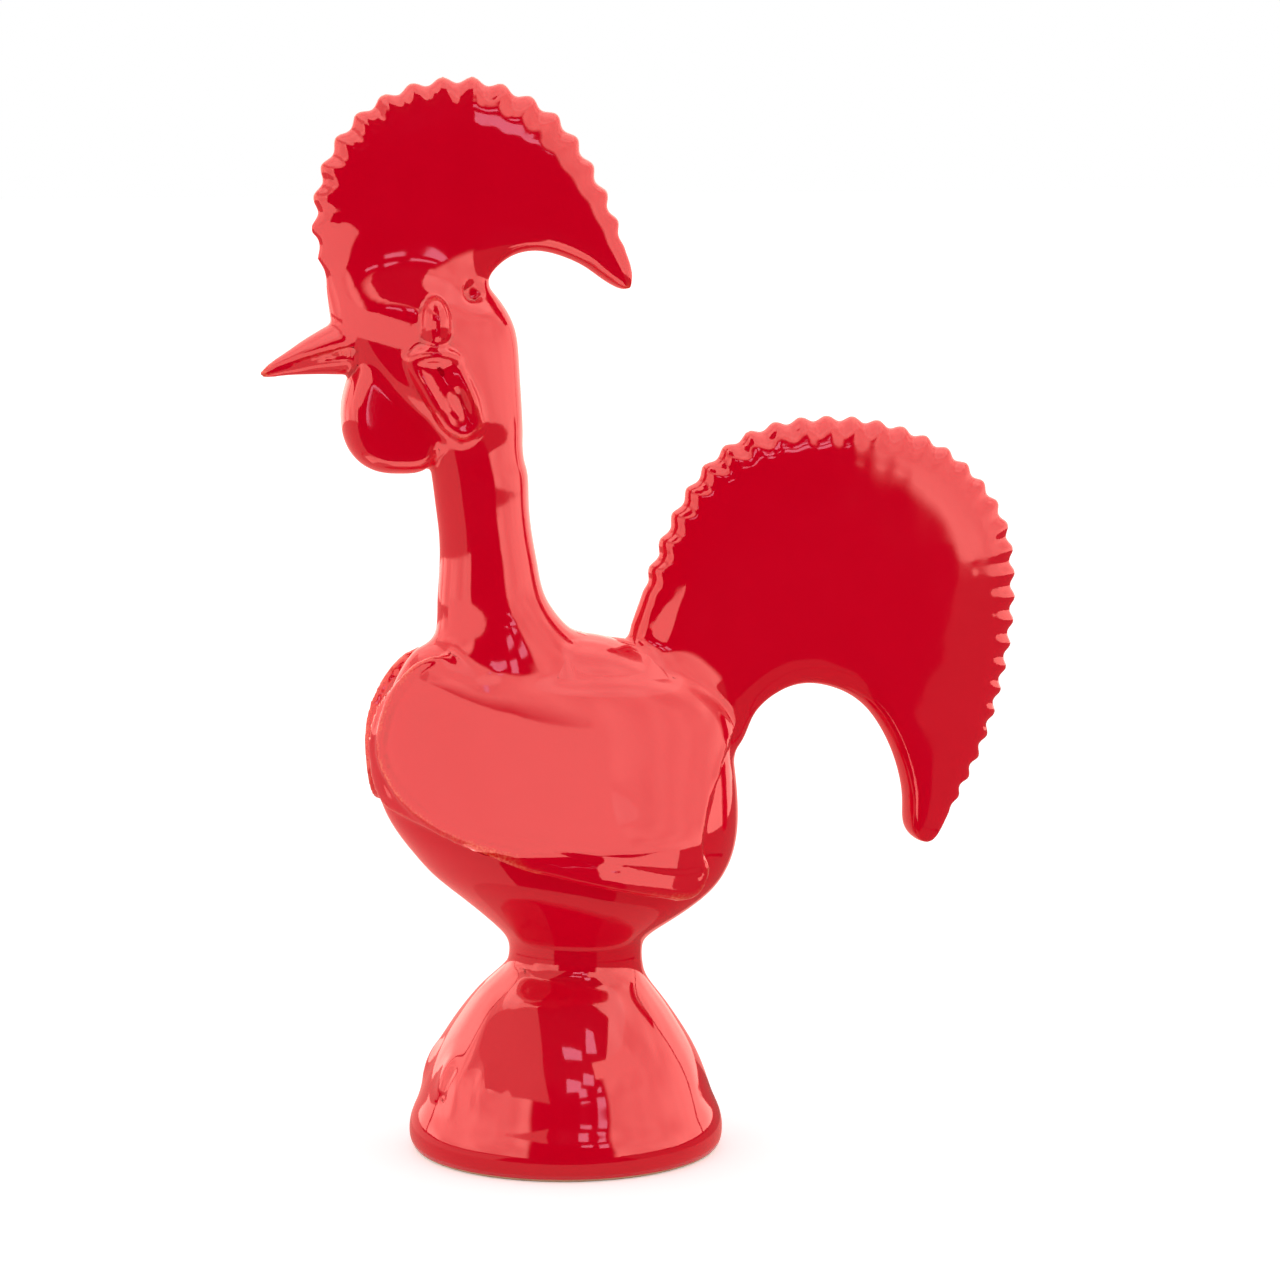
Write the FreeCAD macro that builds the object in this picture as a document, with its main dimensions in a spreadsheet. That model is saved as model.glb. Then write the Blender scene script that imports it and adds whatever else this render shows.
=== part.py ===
"""A glazed earthenware rooster on a bell foot, built from its separate clay members.

Millimetres, +Z up. The rooster faces -X and its left side is -Y. The origin is the centre of the
foot ring on the table. Every member is luted to its neighbour face to face, as wet clay is joined
with slip, so each one is cut to the surface that it sits on. The foot, body, neck and head are
hollow, and small vent holes let the air out of the closed ones.
"""
import FreeCAD, Part
import math
import os

Vector = FreeCAD.Vector

doc = FreeCAD.newDocument("glazed_rooster")
sheet = doc.addObject("Spreadsheet::Sheet", "Sizes")

# Driving dimensions
SIZES = [
    # clay
    ("wall", 3.6),
    ("overrun", 1.0),
    ("vent_bore", 2.5),
    # foot bell
    ("bell_height", 46.0),
    ("bell_radius", 36.9),
    ("bell_crown", 5.0),
    # body
    ("body_height", 76.5),
    ("body_length", 85.2),
    ("body_width", 56.0),
    # neck
    ("neck_height", 55.0),
    ("neck_length", 22.0),
    ("neck_width", 19.0),
    ("neck_sink", 11.5),
    ("neck_setback", 23.6),
    # head
    ("head_height", 46.0),
    ("head_length", 42.0),
    ("head_width", 22.4),
    ("head_lead", 13.0),
    # comb
    ("comb_length", 74.6),
    ("comb_height", 53.0),
    ("comb_thickness", 9.4),
    ("comb_edge", 12.0),
    ("comb_sink", 15.0),
    ("comb_lead", 26.6),
    ("comb_scallop_pitch", 7.0),
    ("comb_scallop_depth", 1.5),
    # beak
    ("beak_length", 24.0),
    ("beak_height", 14.5),
    ("beak_width", 12.4),
    ("beak_drop", 29.2),
    ("beak_lead", 14.6),
    ("mouth_gap", 0.3),
    # eyes
    ("eye_length", 6.8),
    ("eye_height", 9.4),
    ("eye_depth", 6.2),
    ("eye_sink", 2.4),
    ("eye_drop", 17.4),
    ("eye_lead", 0.2),
    # wattles
    ("wattle_length", 23.2),
    ("wattle_height", 26.5),
    ("wattle_thickness", 7.0),
    ("wattle_edge", 3.6),
    ("wattle_drop", 52.2),
    ("wattle_lead", 20.2),
    # ear lobes
    ("lobe_length", 23.0),
    ("lobe_width", 9.4),
    ("lobe_stand", 2.0),
    ("lobe_groove_width", 3.4),
    ("lobe_groove_depth", 2.2),
    ("lobe_lean_angle", 28.0),
    ("lobe_drop", 33.2),
    ("lobe_setback", 3.4),
    # nape pits
    ("pit_bore", 4.6),
    ("pit_core", 4.0),
    ("pit_drop", 10.4),
    ("pit_setback", 9.6),
    # tail
    ("tail_length", 94.6),
    ("tail_height", 102.4),
    ("tail_thickness", 10.4),
    ("tail_edge", 12.0),
    ("tail_drop", 54.0),
    ("tail_inset", 27.2),
    ("tail_scallop_pitch", 6.05),
    ("tail_scallop_depth", 1.3),
    ("haunch_length", 26.0),
    ("haunch_height", 35.0),
    ("haunch_width", 32.0),
    # wings
    ("wing_stand", 4.4),
    ("breast_gap", 20.0),
    # legs
    ("leg_width", 12.0),
    ("leg_spread_angle", 28.0),
    ("toe_length", 14.0),
    ("toe_width", 7.6),
    ("toe_spread_angle", 12.0),
]

for row, (name, value) in enumerate(SIZES, start=1):
    sheet.set("A%d" % row, name)
    sheet.set("B%d" % row, str(value))
    sheet.setAlias("B%d" % row, name)
doc.recompute()


def size(name):
    """The value of one named size."""
    return float(sheet.get(name))


# Rings of the foot bell: height, centre, radius, as shares of bell_height and bell_radius
BELL_RING_SHARES = [
    (0.000, 0.000, 0.950),
    (0.030, 0.000, 0.985),
    (0.090, 0.000, 1.000),
    (0.175, 0.000, 0.983),
    (0.280, 0.000, 0.930),
    (0.435, 0.000, 0.862),
    (0.565, 0.000, 0.780),
    (0.675, 0.000, 0.692),
    (0.780, 0.002, 0.596),
    (0.870, 0.020, 0.500),
    (0.940, 0.055, 0.437),
    (1.000, 0.070, 0.421),
]

# Between which shares of each member's height its hollow runs
BELL_HOLLOW_TOP_SHARE = 0.900
BODY_HOLLOW_SHARES = (0.098, 0.948)
NECK_BORE_FOOT_SHARE = 0.360
HEAD_HOLLOW_TOP_SHARE = 0.696

# Rings of the body: height, centre, length, width, as shares of body_height, body_length and body_width
BODY_RING_SHARES = [
    (0.000, 0.030, 0.365, 0.554),
    (0.052, 0.032, 0.387, 0.580),
    (0.098, 0.045, 0.484, 0.660),
    (0.144, 0.056, 0.599, 0.750),
    (0.203, 0.056, 0.728, 0.855),
    (0.261, 0.043, 0.824, 0.930),
    (0.327, 0.027, 0.897, 0.982),
    (0.392, 0.009, 0.948, 1.000),
    (0.497, -0.014, 0.993, 0.905),
    (0.614, -0.026, 1.000, 0.765),
    (0.719, -0.031, 0.977, 0.652),
    (0.810, -0.047, 0.892, 0.560),
    (0.889, -0.076, 0.763, 0.472),
    (0.948, -0.112, 0.610, 0.385),
    (0.987, -0.141, 0.423, 0.265),
    (1.000, -0.147, 0.235, 0.165),
]

# Rings of the neck: height, centre, length, width, as shares of neck_height, neck_length and neck_width
NECK_RING_SHARES = [
    (0.000, 0.345, 1.980, 1.560),
    (0.100, 0.310, 1.800, 1.420),
    (0.180, 0.245, 1.570, 1.280),
    (0.265, 0.150, 1.310, 1.150),
    (0.360, 0.075, 1.145, 1.060),
    (0.490, 0.045, 1.040, 1.010),
    (0.636, 0.011, 0.982, 0.979),
    (0.782, -0.027, 1.000, 0.979),
    (0.891, -0.055, 1.018, 0.989),
    (1.000, -0.105, 1.064, 1.011),
]

# Rings of the head: height, centre, length, width, as shares of head_height, head_length and head_width
HEAD_RING_SHARES = [
    (0.000, 0.240, 0.581, 0.857),
    (0.087, 0.214, 0.624, 0.884),
    (0.217, 0.143, 0.752, 0.938),
    (0.348, 0.062, 0.895, 0.982),
    (0.478, 0.010, 0.981, 1.000),
    (0.587, -0.021, 1.000, 0.973),
    (0.696, -0.062, 0.962, 0.893),
    (0.804, -0.110, 0.895, 0.705),
    (0.913, -0.133, 0.871, 0.500),
    (1.000, -0.143, 0.810, 0.375),
]

# Rings of the beak: distance, centre height, height, width, as shares of beak_length, beak_height and beak_width
BEAK_RING_SHARES = [
    (0.000, 0.500, 1.000, 1.000),
    (0.200, 0.448, 0.910, 0.900),
    (0.400, 0.366, 0.724, 0.740),
    (0.600, 0.269, 0.524, 0.560),
    (0.800, 0.152, 0.318, 0.330),
    (0.930, 0.076, 0.192, 0.190),
    (1.000, 0.034, 0.076, 0.070),
]

# Where the mouth line runs at the beak's root and at its tip, as shares of beak_height
MOUTH_LIFT_SHARES = (0.510, 0.097)

# Rings of the tail's haunch: distance, length, width, as shares of haunch_length, haunch_height and haunch_width
HAUNCH_RING_SHARES = [
    (0.000, 1.000, 1.000),
    (0.350, 0.980, 0.780),
    (0.600, 0.960, 0.520),
    (0.820, 0.920, 0.320),
    (1.000, 0.860, 0.240),
]

# Where the haunch crosses the tail's lower edge, in the tail's own shares, and how much of it is inside the body
HAUNCH_SEAT_SHARES = (0.285, 0.250)
HAUNCH_BURIED_SHARE = 0.62

# Outline of the comb from the nape round the top to the tip and back: length, height and edge rounding as
# shares, and 1 where the edge is scalloped
COMB_OUTLINE_SHARES = [
    (0.080, -0.060, 0.60, 0),
    (0.052, 0.098, 1.00, 1),
    (0.021, 0.228, 1.00, 1),
    (0.010, 0.357, 1.00, 1),
    (0.018, 0.500, 1.00, 1),
    (0.047, 0.640, 1.00, 1),
    (0.105, 0.768, 1.00, 1),
    (0.200, 0.885, 1.00, 1),
    (0.330, 0.962, 1.00, 1),
    (0.436, 0.984, 1.00, 1),
    (0.535, 0.974, 1.00, 1),
    (0.645, 0.922, 1.00, 1),
    (0.767, 0.815, 0.82, 1),
    (0.870, 0.617, 0.52, 1),
    (0.935, 0.427, 0.30, 1),
    (0.979, 0.245, 0.18, 1),
    (0.996, 0.130, 0.11, 0),
    (0.985, 0.085, 0.10, 0),
    (0.935, 0.100, 0.17, 0),
    (0.860, 0.170, 0.28, 0),
    (0.780, 0.224, 0.33, 0),
    (0.690, 0.250, 0.35, 0),
    (0.610, 0.222, 0.35, 0),
    (0.552, 0.140, 0.35, 0),
    (0.520, 0.020, 0.35, 0),
    (0.460, -0.120, 0.35, 0),
    (0.260, -0.190, 0.35, 0),
]

# Outline of the tail, in the same form, from the saddle round the top to the tip and back
TAIL_OUTLINE_SHARES = [
    (0.000, 0.520, 0.75, 0),
    (0.030, 0.596, 0.75, 1),
    (0.060, 0.670, 0.75, 1),
    (0.116, 0.784, 0.85, 1),
    (0.204, 0.899, 1.00, 1),
    (0.312, 0.965, 1.00, 1),
    (0.444, 0.993, 1.00, 1),
    (0.559, 0.992, 1.00, 1),
    (0.679, 0.971, 1.00, 1),
    (0.799, 0.924, 1.00, 1),
    (0.901, 0.846, 1.05, 1),
    (0.970, 0.746, 1.10, 1),
    (0.992, 0.638, 1.10, 1),
    (0.993, 0.537, 1.10, 1),
    (0.979, 0.432, 1.05, 1),
    (0.952, 0.327, 0.85, 1),
    (0.911, 0.219, 0.52, 1),
    (0.857, 0.122, 0.34, 1),
    (0.821, 0.059, 0.22, 1),
    (0.765, 0.000, 0.12, 0),
    (0.728, 0.020, 0.14, 0),
    (0.712, 0.095, 0.24, 0),
    (0.695, 0.180, 0.34, 0),
    (0.655, 0.265, 0.40, 0),
    (0.595, 0.335, 0.42, 0),
    (0.515, 0.374, 0.42, 0),
    (0.435, 0.382, 0.42, 0),
    (0.360, 0.354, 0.40, 0),
    (0.318, 0.315, 0.38, 0),
    (0.280, 0.240, 0.38, 0),
    (0.200, 0.210, 0.38, 0),
    (0.060, 0.300, 0.38, 0),
]

# How much closer together the tail's scallops lie at its tip than in its middle
TAIL_CROWDING_SHARE = 0.13

# Outline of a wattle, in the same form, from its root under the head back and down
WATTLE_OUTLINE_SHARES = [
    (0.340, 1.020, 1.00),
    (0.560, 0.975, 1.00),
    (0.780, 0.850, 1.00),
    (0.940, 0.650, 1.00),
    (1.000, 0.400, 1.00),
    (0.960, 0.150, 1.00),
    (0.800, 0.020, 1.00),
    (0.570, 0.000, 1.00),
    (0.370, 0.020, 1.00),
    (0.190, 0.100, 1.00),
    (0.060, 0.250, 1.00),
    (0.004, 0.450, 1.00),
    (0.010, 0.640, 1.00),
    (0.070, 0.840, 1.00),
    (0.150, 0.985, 1.00),
]

# Outline of a wing seen from the side, as shares of body_length and body_height about the body's foot
WING_OUTLINE_SHARES = [
    (-0.400, 0.975),
    (-0.520, 0.900),
    (-0.630, 0.760),
    (-0.640, 0.610),
    (-0.560, 0.520),
    (-0.471, 0.471),
    (-0.369, 0.420),
    (-0.219, 0.365),
    (-0.063, 0.314),
    (0.100, 0.269),
    (0.228, 0.236),
    (0.292, 0.228),
    (0.325, 0.275),
    (0.312, 0.360),
    (0.329, 0.447),
    (0.381, 0.559),
    (0.442, 0.654),
    (0.490, 0.740),
    (0.440, 0.810),
    (0.300, 0.850),
    (0.050, 0.865),
    (-0.180, 0.880),
    (-0.300, 0.915),
]

# How far the wings stand off the body's upper rings at the side, front and rear, as shares of wing_stand
WING_STAND_SHARES = [
    (1.16, 0.50, 0.30),
    (1.13, 0.50, 0.30),
    (1.08, 0.50, 0.30),
    (1.02, 0.50, 0.30),
    (0.96, 0.50, 0.30),
    (0.76, 0.42, 0.28),
    (0.56, 0.46, 0.25),
    (0.42, 0.64, 0.22),
    (0.34, 0.86, 0.20),
    (0.26, 0.98, 0.18),
    (0.20, 0.80, 0.16),
    (0.18, 0.50, 0.16),
    (0.16, 0.40, 0.16),
]

# Half width of the gap between the wings over the breast, as shares of breast_gap, at shares of body_height
BREAST_GAP_SHARES = [
    (1.000, 0.50),
    (0.900, 0.34),
    (0.800, 0.20),
    (0.700, 0.11),
    (0.610, 0.09),
    (0.540, 0.16),
    (0.480, 0.40),
    (0.400, 0.75),
]

# Rings of a leg: height as a share of bell_height, width as a share of leg_width, how deep its centre
# sits in the bell as a share of leg_width
LEG_RING_SHARES = [
    (0.960, 0.30, 0.12),
    (0.860, 0.40, 0.12),
    (0.740, 0.52, 0.15),
    (0.620, 0.70, 0.21),
    (0.500, 0.92, 0.31),
    (0.400, 1.00, 0.36),
    (0.310, 0.86, 0.33),
    (0.240, 0.60, 0.26),
]

# How high the toes sit on the bell, how deep their middle lies in it, and how far they lean with it
TOE_RISE_SHARE = 0.420
TOE_SINK_SHARE = 0.200


# A circle of radius 1, as a smooth closed curve through this many points, which the oval sections scale
UNIT_CIRCLE_COUNT = 12
unit_points = []
for index in range(UNIT_CIRCLE_COUNT):
    turn = 2 * math.pi * index / UNIT_CIRCLE_COUNT
    unit_points.append(Vector(math.cos(turn), math.sin(turn), 0))
unit_curve = Part.BSplineCurve()
unit_curve.interpolate(
    Points=unit_points, PeriodicFlag=True, Parameters=list(range(UNIT_CIRCLE_COUNT + 1)))
unit_circle = doc.addObject("Part::Feature", "unit_circle")
unit_circle.Shape = unit_curve.toShape()


def ring(name, plane, centre, length, width):
    """An oval section, the unit circle scaled to half axes that follow expressions of the sheet's sizes."""
    section = doc.addObject("Part::Scale", name)
    section.Base = unit_circle
    section.Uniform = False
    section.ZScale = 1
    section.Placement = FreeCAD.Placement(Vector(), plane)
    for axis, rule in zip("xyz", centre):
        section.setExpression("Placement.Base." + axis, rule)
    section.setExpression("XScale", length)
    section.setExpression("YScale", width)
    return section


def loft(name, sections):
    """A smooth closed form through a row of sections."""
    form = doc.addObject("Part::Loft", name)
    form.Sections = sections
    form.Solid = True
    form.Ruled = False
    return form


def cut(name, base, tool):
    """What is left of base once tool is taken out of it."""
    result = doc.addObject("Part::Cut", name)
    result.Base = base
    result.Tool = tool
    return result


def feature(name, shape):
    """A member whose shape is set here, from sizes read out of the sheet."""
    member = doc.addObject("Part::Feature", name)
    member.Shape = shape
    member.Placement = FreeCAD.Placement()
    return member


def largest_solid(shape):
    """The main solid of a cut, without any sliver beside it."""
    return max(shape.Solids, key=lambda solid: solid.Volume)


def oval(centre, along, across):
    """A closed wire about a centre with the two given half axes, of which either may be the longer."""
    facing = along.cross(across).normalize()
    scaling = FreeCAD.Matrix(
        along.x, across.x, facing.x, centre.x,
        along.y, across.y, facing.y, centre.y,
        along.z, across.z, facing.z, centre.z)
    return Part.Wire([unit_curve.toShape().transformGeometry(scaling)])


UP = Vector(0, 0, 1)
LEVEL = FreeCAD.Rotation()
ACROSS = FreeCAD.Rotation(Vector(0, 0, -1), Vector(0, 1, 0), Vector(1, 0, 0), "ZXY")

# Places that several members share, as expressions of the sheet's sizes
CROWN_TOP = "Sizes.bell_height"
CROWN_X = "Sizes.bell_radius * %.4f" % BELL_RING_SHARES[-1][1]
CROWN_RADIUS = "Sizes.bell_radius * %.4f" % BELL_RING_SHARES[-1][2]
BODY_TOP = "(Sizes.bell_height + Sizes.body_height)"
NECK_BASE = "(Sizes.bell_height + Sizes.body_height - Sizes.neck_sink)"
NECK_X = "(Sizes.neck_setback - Sizes.body_length / 2)"
HEAD_BASE = "(Sizes.bell_height + Sizes.body_height - Sizes.neck_sink + Sizes.neck_height)"
HEAD_TOP = "(Sizes.bell_height + Sizes.body_height - Sizes.neck_sink + Sizes.neck_height + Sizes.head_height)"
HEAD_X = "(Sizes.neck_setback - Sizes.body_length / 2 - Sizes.head_lead)"

# The same places as numbers, for the members whose shapes are set by code
body_top = size("bell_height") + size("body_height")
head_top = body_top - size("neck_sink") + size("neck_height") + size("head_height")
head_x = size("neck_setback") - size("body_length") / 2 - size("head_lead")


def level_rings(name, shares, base, height, place, length, width, inset=""):
    """Level elliptic sections of one member, drawn in by inset for the hollow inside it."""
    sections = []
    for index, (rise, centre, long_share, wide_share) in enumerate(shares):
        sections.append(ring(
            "%s_ring_%d" % (name, index), LEVEL,
            ("%s + %s * %.4f" % (place, length, centre), "0", "%s + %s * %.4f" % (base, height, rise)),
            "%s / 2 * %.4f%s" % (length, long_share, inset),
            "%s / 2 * %.4f%s" % (width, wide_share, inset),
        ))
    return sections


# Foot bell, thrown and hollow, with a flat crown that the body is luted to

def bell_circle(name, x_rule, z_rule, radius_rule):
    """A level circle of the bell."""
    circle = doc.addObject("Part::Circle", name)
    circle.setExpression("Placement.Base.x", x_rule)
    circle.setExpression("Placement.Base.z", z_rule)
    circle.setExpression("Radius", radius_rule)
    return circle


def bell_circles(name, rows, inset=""):
    """The level circles of the bell, or with an inset those of the hollow under it."""
    return [
        bell_circle(
            "%s_ring_%d" % (name, index),
            "Sizes.bell_radius * %.4f" % centre,
            "Sizes.bell_height * %.4f" % rise,
            "Sizes.bell_radius * %.4f%s" % (radius, inset))
        for index, (rise, centre, radius) in enumerate(rows)]


bell_outer = loft("bell_outer", bell_circles("bell_outer", BELL_RING_SHARES))
hollow_rows = [row for row in BELL_RING_SHARES if row[0] <= BELL_HOLLOW_TOP_SHARE]
hollow_circles = bell_circles("bell_hollow", hollow_rows, " - Sizes.wall")
hollow_circles[-1].setExpression("Placement.Base.z", "Sizes.bell_height - Sizes.bell_crown")
bell_mouth = bell_circle(
    "bell_mouth", "0", "-Sizes.overrun", "Sizes.bell_radius * %.4f - Sizes.wall" % BELL_RING_SHARES[0][2])
bell_hollow = loft("bell_hollow", [bell_mouth] + hollow_circles)

# The vent is one bore through the bell's crown and the floor of the body
vent = doc.addObject("Part::Cylinder", "vent")
vent.setExpression("Radius", "Sizes.vent_bore / 2")
vent.setExpression(
    "Height",
    "Sizes.bell_crown + Sizes.body_height * %.4f + 2 * Sizes.overrun" % BODY_HOLLOW_SHARES[0])
vent.setExpression("Placement.Base.x", CROWN_X)
vent.setExpression("Placement.Base.z", "Sizes.bell_height - Sizes.bell_crown - Sizes.overrun")
foot_bell = cut("foot_bell", cut("bell_shell", bell_outer, bell_hollow), vent)

# Body, a hollow egg with the vent in its floor and a throat under the neck

BODY = (CROWN_TOP, "Sizes.body_height", "0", "Sizes.body_length", "Sizes.body_width")
body_rings = level_rings("body_outer", BODY_RING_SHARES, *BODY)
body_rings[0].setExpression("Placement.Base.x", CROWN_X)
body_rings[0].setExpression("XScale", CROWN_RADIUS)
body_rings[0].setExpression("YScale", CROWN_RADIUS)
body_outer = loft("body_outer", body_rings)
floor_share, roof_share = BODY_HOLLOW_SHARES
body_hollow_rows = [row for row in BODY_RING_SHARES if floor_share <= row[0] <= roof_share]
body_hollow = loft("body_hollow", level_rings("body_hollow", body_hollow_rows, *BODY, " - Sizes.wall"))

throat = doc.addObject("Part::Cylinder", "throat")
throat.setExpression("Radius", "Sizes.neck_width / 2 - Sizes.wall")
throat.setExpression("Height", "Sizes.neck_height / 2")
throat.setExpression("Placement.Base.x", NECK_X)
throat.setExpression("Placement.Base.z", NECK_BASE)
body_vented = cut("body_vented", cut("body_shell", body_outer, body_hollow), vent)
body = cut("body", body_vented, throat)

# Neck, a tube luted over the throat

NECK = (NECK_BASE, "Sizes.neck_height", NECK_X, "Sizes.neck_length", "Sizes.neck_width")
neck_outer = loft("neck_outer", level_rings("neck_outer", NECK_RING_SHARES, *NECK))
neck_bore_rows = [row for row in NECK_RING_SHARES if row[0] >= NECK_BORE_FOOT_SHARE]
neck_bore_rings = level_rings("neck_bore", neck_bore_rows, *NECK, " - Sizes.wall")
neck_bore_rings[-1].setExpression("Placement.Base.z", HEAD_BASE + " + Sizes.overrun")
neck_bore = loft("neck_bore", neck_bore_rings)
neck_tube = cut("neck_tube", cut("neck_seated", neck_outer, body_outer), neck_bore)
neck = cut("neck", neck_tube, throat)

# Head, closed over the neck's bore, with a blind pit each side of the nape

HEAD = (HEAD_BASE, "Sizes.head_height", HEAD_X, "Sizes.head_length", "Sizes.head_width")
head_outer = loft("head_outer", level_rings("head_outer", HEAD_RING_SHARES, *HEAD))
head_hollow_rows = [row for row in HEAD_RING_SHARES if row[0] <= HEAD_HOLLOW_TOP_SHARE]
head_hollow_rings = level_rings("head_hollow", head_hollow_rows, *HEAD, " - Sizes.wall")
head_hollow_rings[0].setExpression("Placement.Base.z", HEAD_BASE + " - Sizes.overrun")
head_hollow = loft("head_hollow", head_hollow_rings)


def nape_pit(name, side):
    """The blind pit on one side of the nape, as a cylinder that runs out of the head."""
    pit = doc.addObject("Part::Cylinder", name)
    pit.Placement = FreeCAD.Placement(Vector(), FreeCAD.Rotation(Vector(1, 0, 0), -90 * side))
    pit.setExpression("Radius", "Sizes.pit_bore / 2")
    pit.setExpression("Height", "Sizes.head_width")
    pit.setExpression("Placement.Base.x", HEAD_X + " + Sizes.pit_setback")
    pit.setExpression("Placement.Base.y", "%d * Sizes.pit_core / 2" % side)
    pit.setExpression("Placement.Base.z", HEAD_TOP + " - Sizes.pit_drop")
    return pit


pit_left = nape_pit("pit_left", -1)
pit_right = nape_pit("pit_right", 1)
head_shell = cut("head_shell", head_outer, head_hollow)
head = cut("head", cut("head_pitted", head_shell, pit_left), pit_right)


# Eyes, domes that stand out of the cheeks

def eye_ball(name, side):
    """The ellipsoid that one eye is the outer part of."""
    ball = doc.addObject("Part::Ellipsoid", name)
    ball.setExpression("Radius1", "Sizes.eye_height / 2")
    ball.setExpression("Radius2", "Sizes.eye_length / 2")
    ball.setExpression("Radius3", "Sizes.eye_depth / 2")
    ball.setExpression("Placement.Base.x", HEAD_X + " - Sizes.eye_lead")
    ball.setExpression("Placement.Base.y", "%d * (Sizes.head_width / 2 - Sizes.eye_sink)" % side)
    ball.setExpression("Placement.Base.z", HEAD_TOP + " - Sizes.eye_drop")
    return ball


ball_left = eye_ball("ball_left", -1)
ball_right = eye_ball("ball_right", 1)
eye_left = cut("eye_left", ball_left, head_outer)
eye_right = cut("eye_right", ball_right, head_outer)


# Beak, one tapered form that the mouth line parts into two mandibles

def beak_rings():
    """The upright sections of the beak, from inside the head to the tip."""
    sections = []
    for index, (reach, lift, tall_share, wide_share) in enumerate(BEAK_RING_SHARES):
        sections.append(ring(
            "beak_ring_%d" % index, ACROSS,
            (
                "%s - Sizes.beak_lead - Sizes.beak_length * %.4f" % (HEAD_X, reach),
                "0",
                "%s - Sizes.beak_drop + Sizes.beak_height * %.4f" % (HEAD_TOP, lift),
            ),
            "Sizes.beak_height / 2 * %.4f" % tall_share,
            "Sizes.beak_width / 2 * %.4f" % wide_share,
        ))
    return sections


beak_form = loft("beak_form", beak_rings())
beak_seated = cut("beak_seated", beak_form, head_outer)
doc.recompute()


def mandible(name, side):
    """The part of the beak over the mouth line, for side 1, or under it, for side -1."""
    root_lift, tip_lift = [size("beak_height") * share for share in MOUTH_LIFT_SHARES]
    level = head_top - size("beak_drop")
    root = Vector(head_x - size("beak_lead"), 0, level + root_lift)
    tip = Vector(root.x - size("beak_length"), 0, level + tip_lift)
    along = (tip - root).normalize()
    over = Vector(along.z, 0, -along.x) * side
    start = root - along * size("beak_length") + over * (size("mouth_gap") / 2)
    stop = tip + along * size("beak_length") + over * (size("mouth_gap") / 2)
    reach = over * size("beak_length")
    face = Part.Face(Part.makePolygon([start, stop, stop + reach, start + reach, start]))
    face.translate(Vector(0, -size("beak_width"), 0))
    block = face.extrude(Vector(0, 2 * size("beak_width"), 0))
    return feature(name, beak_seated.Shape.common(block))


upper_beak = mandible("upper_beak", 1)
lower_beak = mandible("lower_beak", -1)


# Plates with a rounded edge, which may be scalloped: comb, tail and wattles

# The sections of a rounded edge, as shares of a quarter turn from its rim to each face
EDGE_TURN_SHARES = (-1, -0.69, -0.355, 0, 0.355, 0.69, 1)

# How much of a scallop's depth turns with the edge, and how far apart its points are, as a share of the pitch
SCALLOP_KEEP_SHARE = 0.8
SCALLOP_STEP_SHARE = 1 / 6

# The most that an edge draws in where the outline bends, as a share of the radius of the bend, and how fast
# that may change along the rim
BEND_LIMIT_SHARE = 0.7
EASE_SHARE = 0.4


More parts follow.
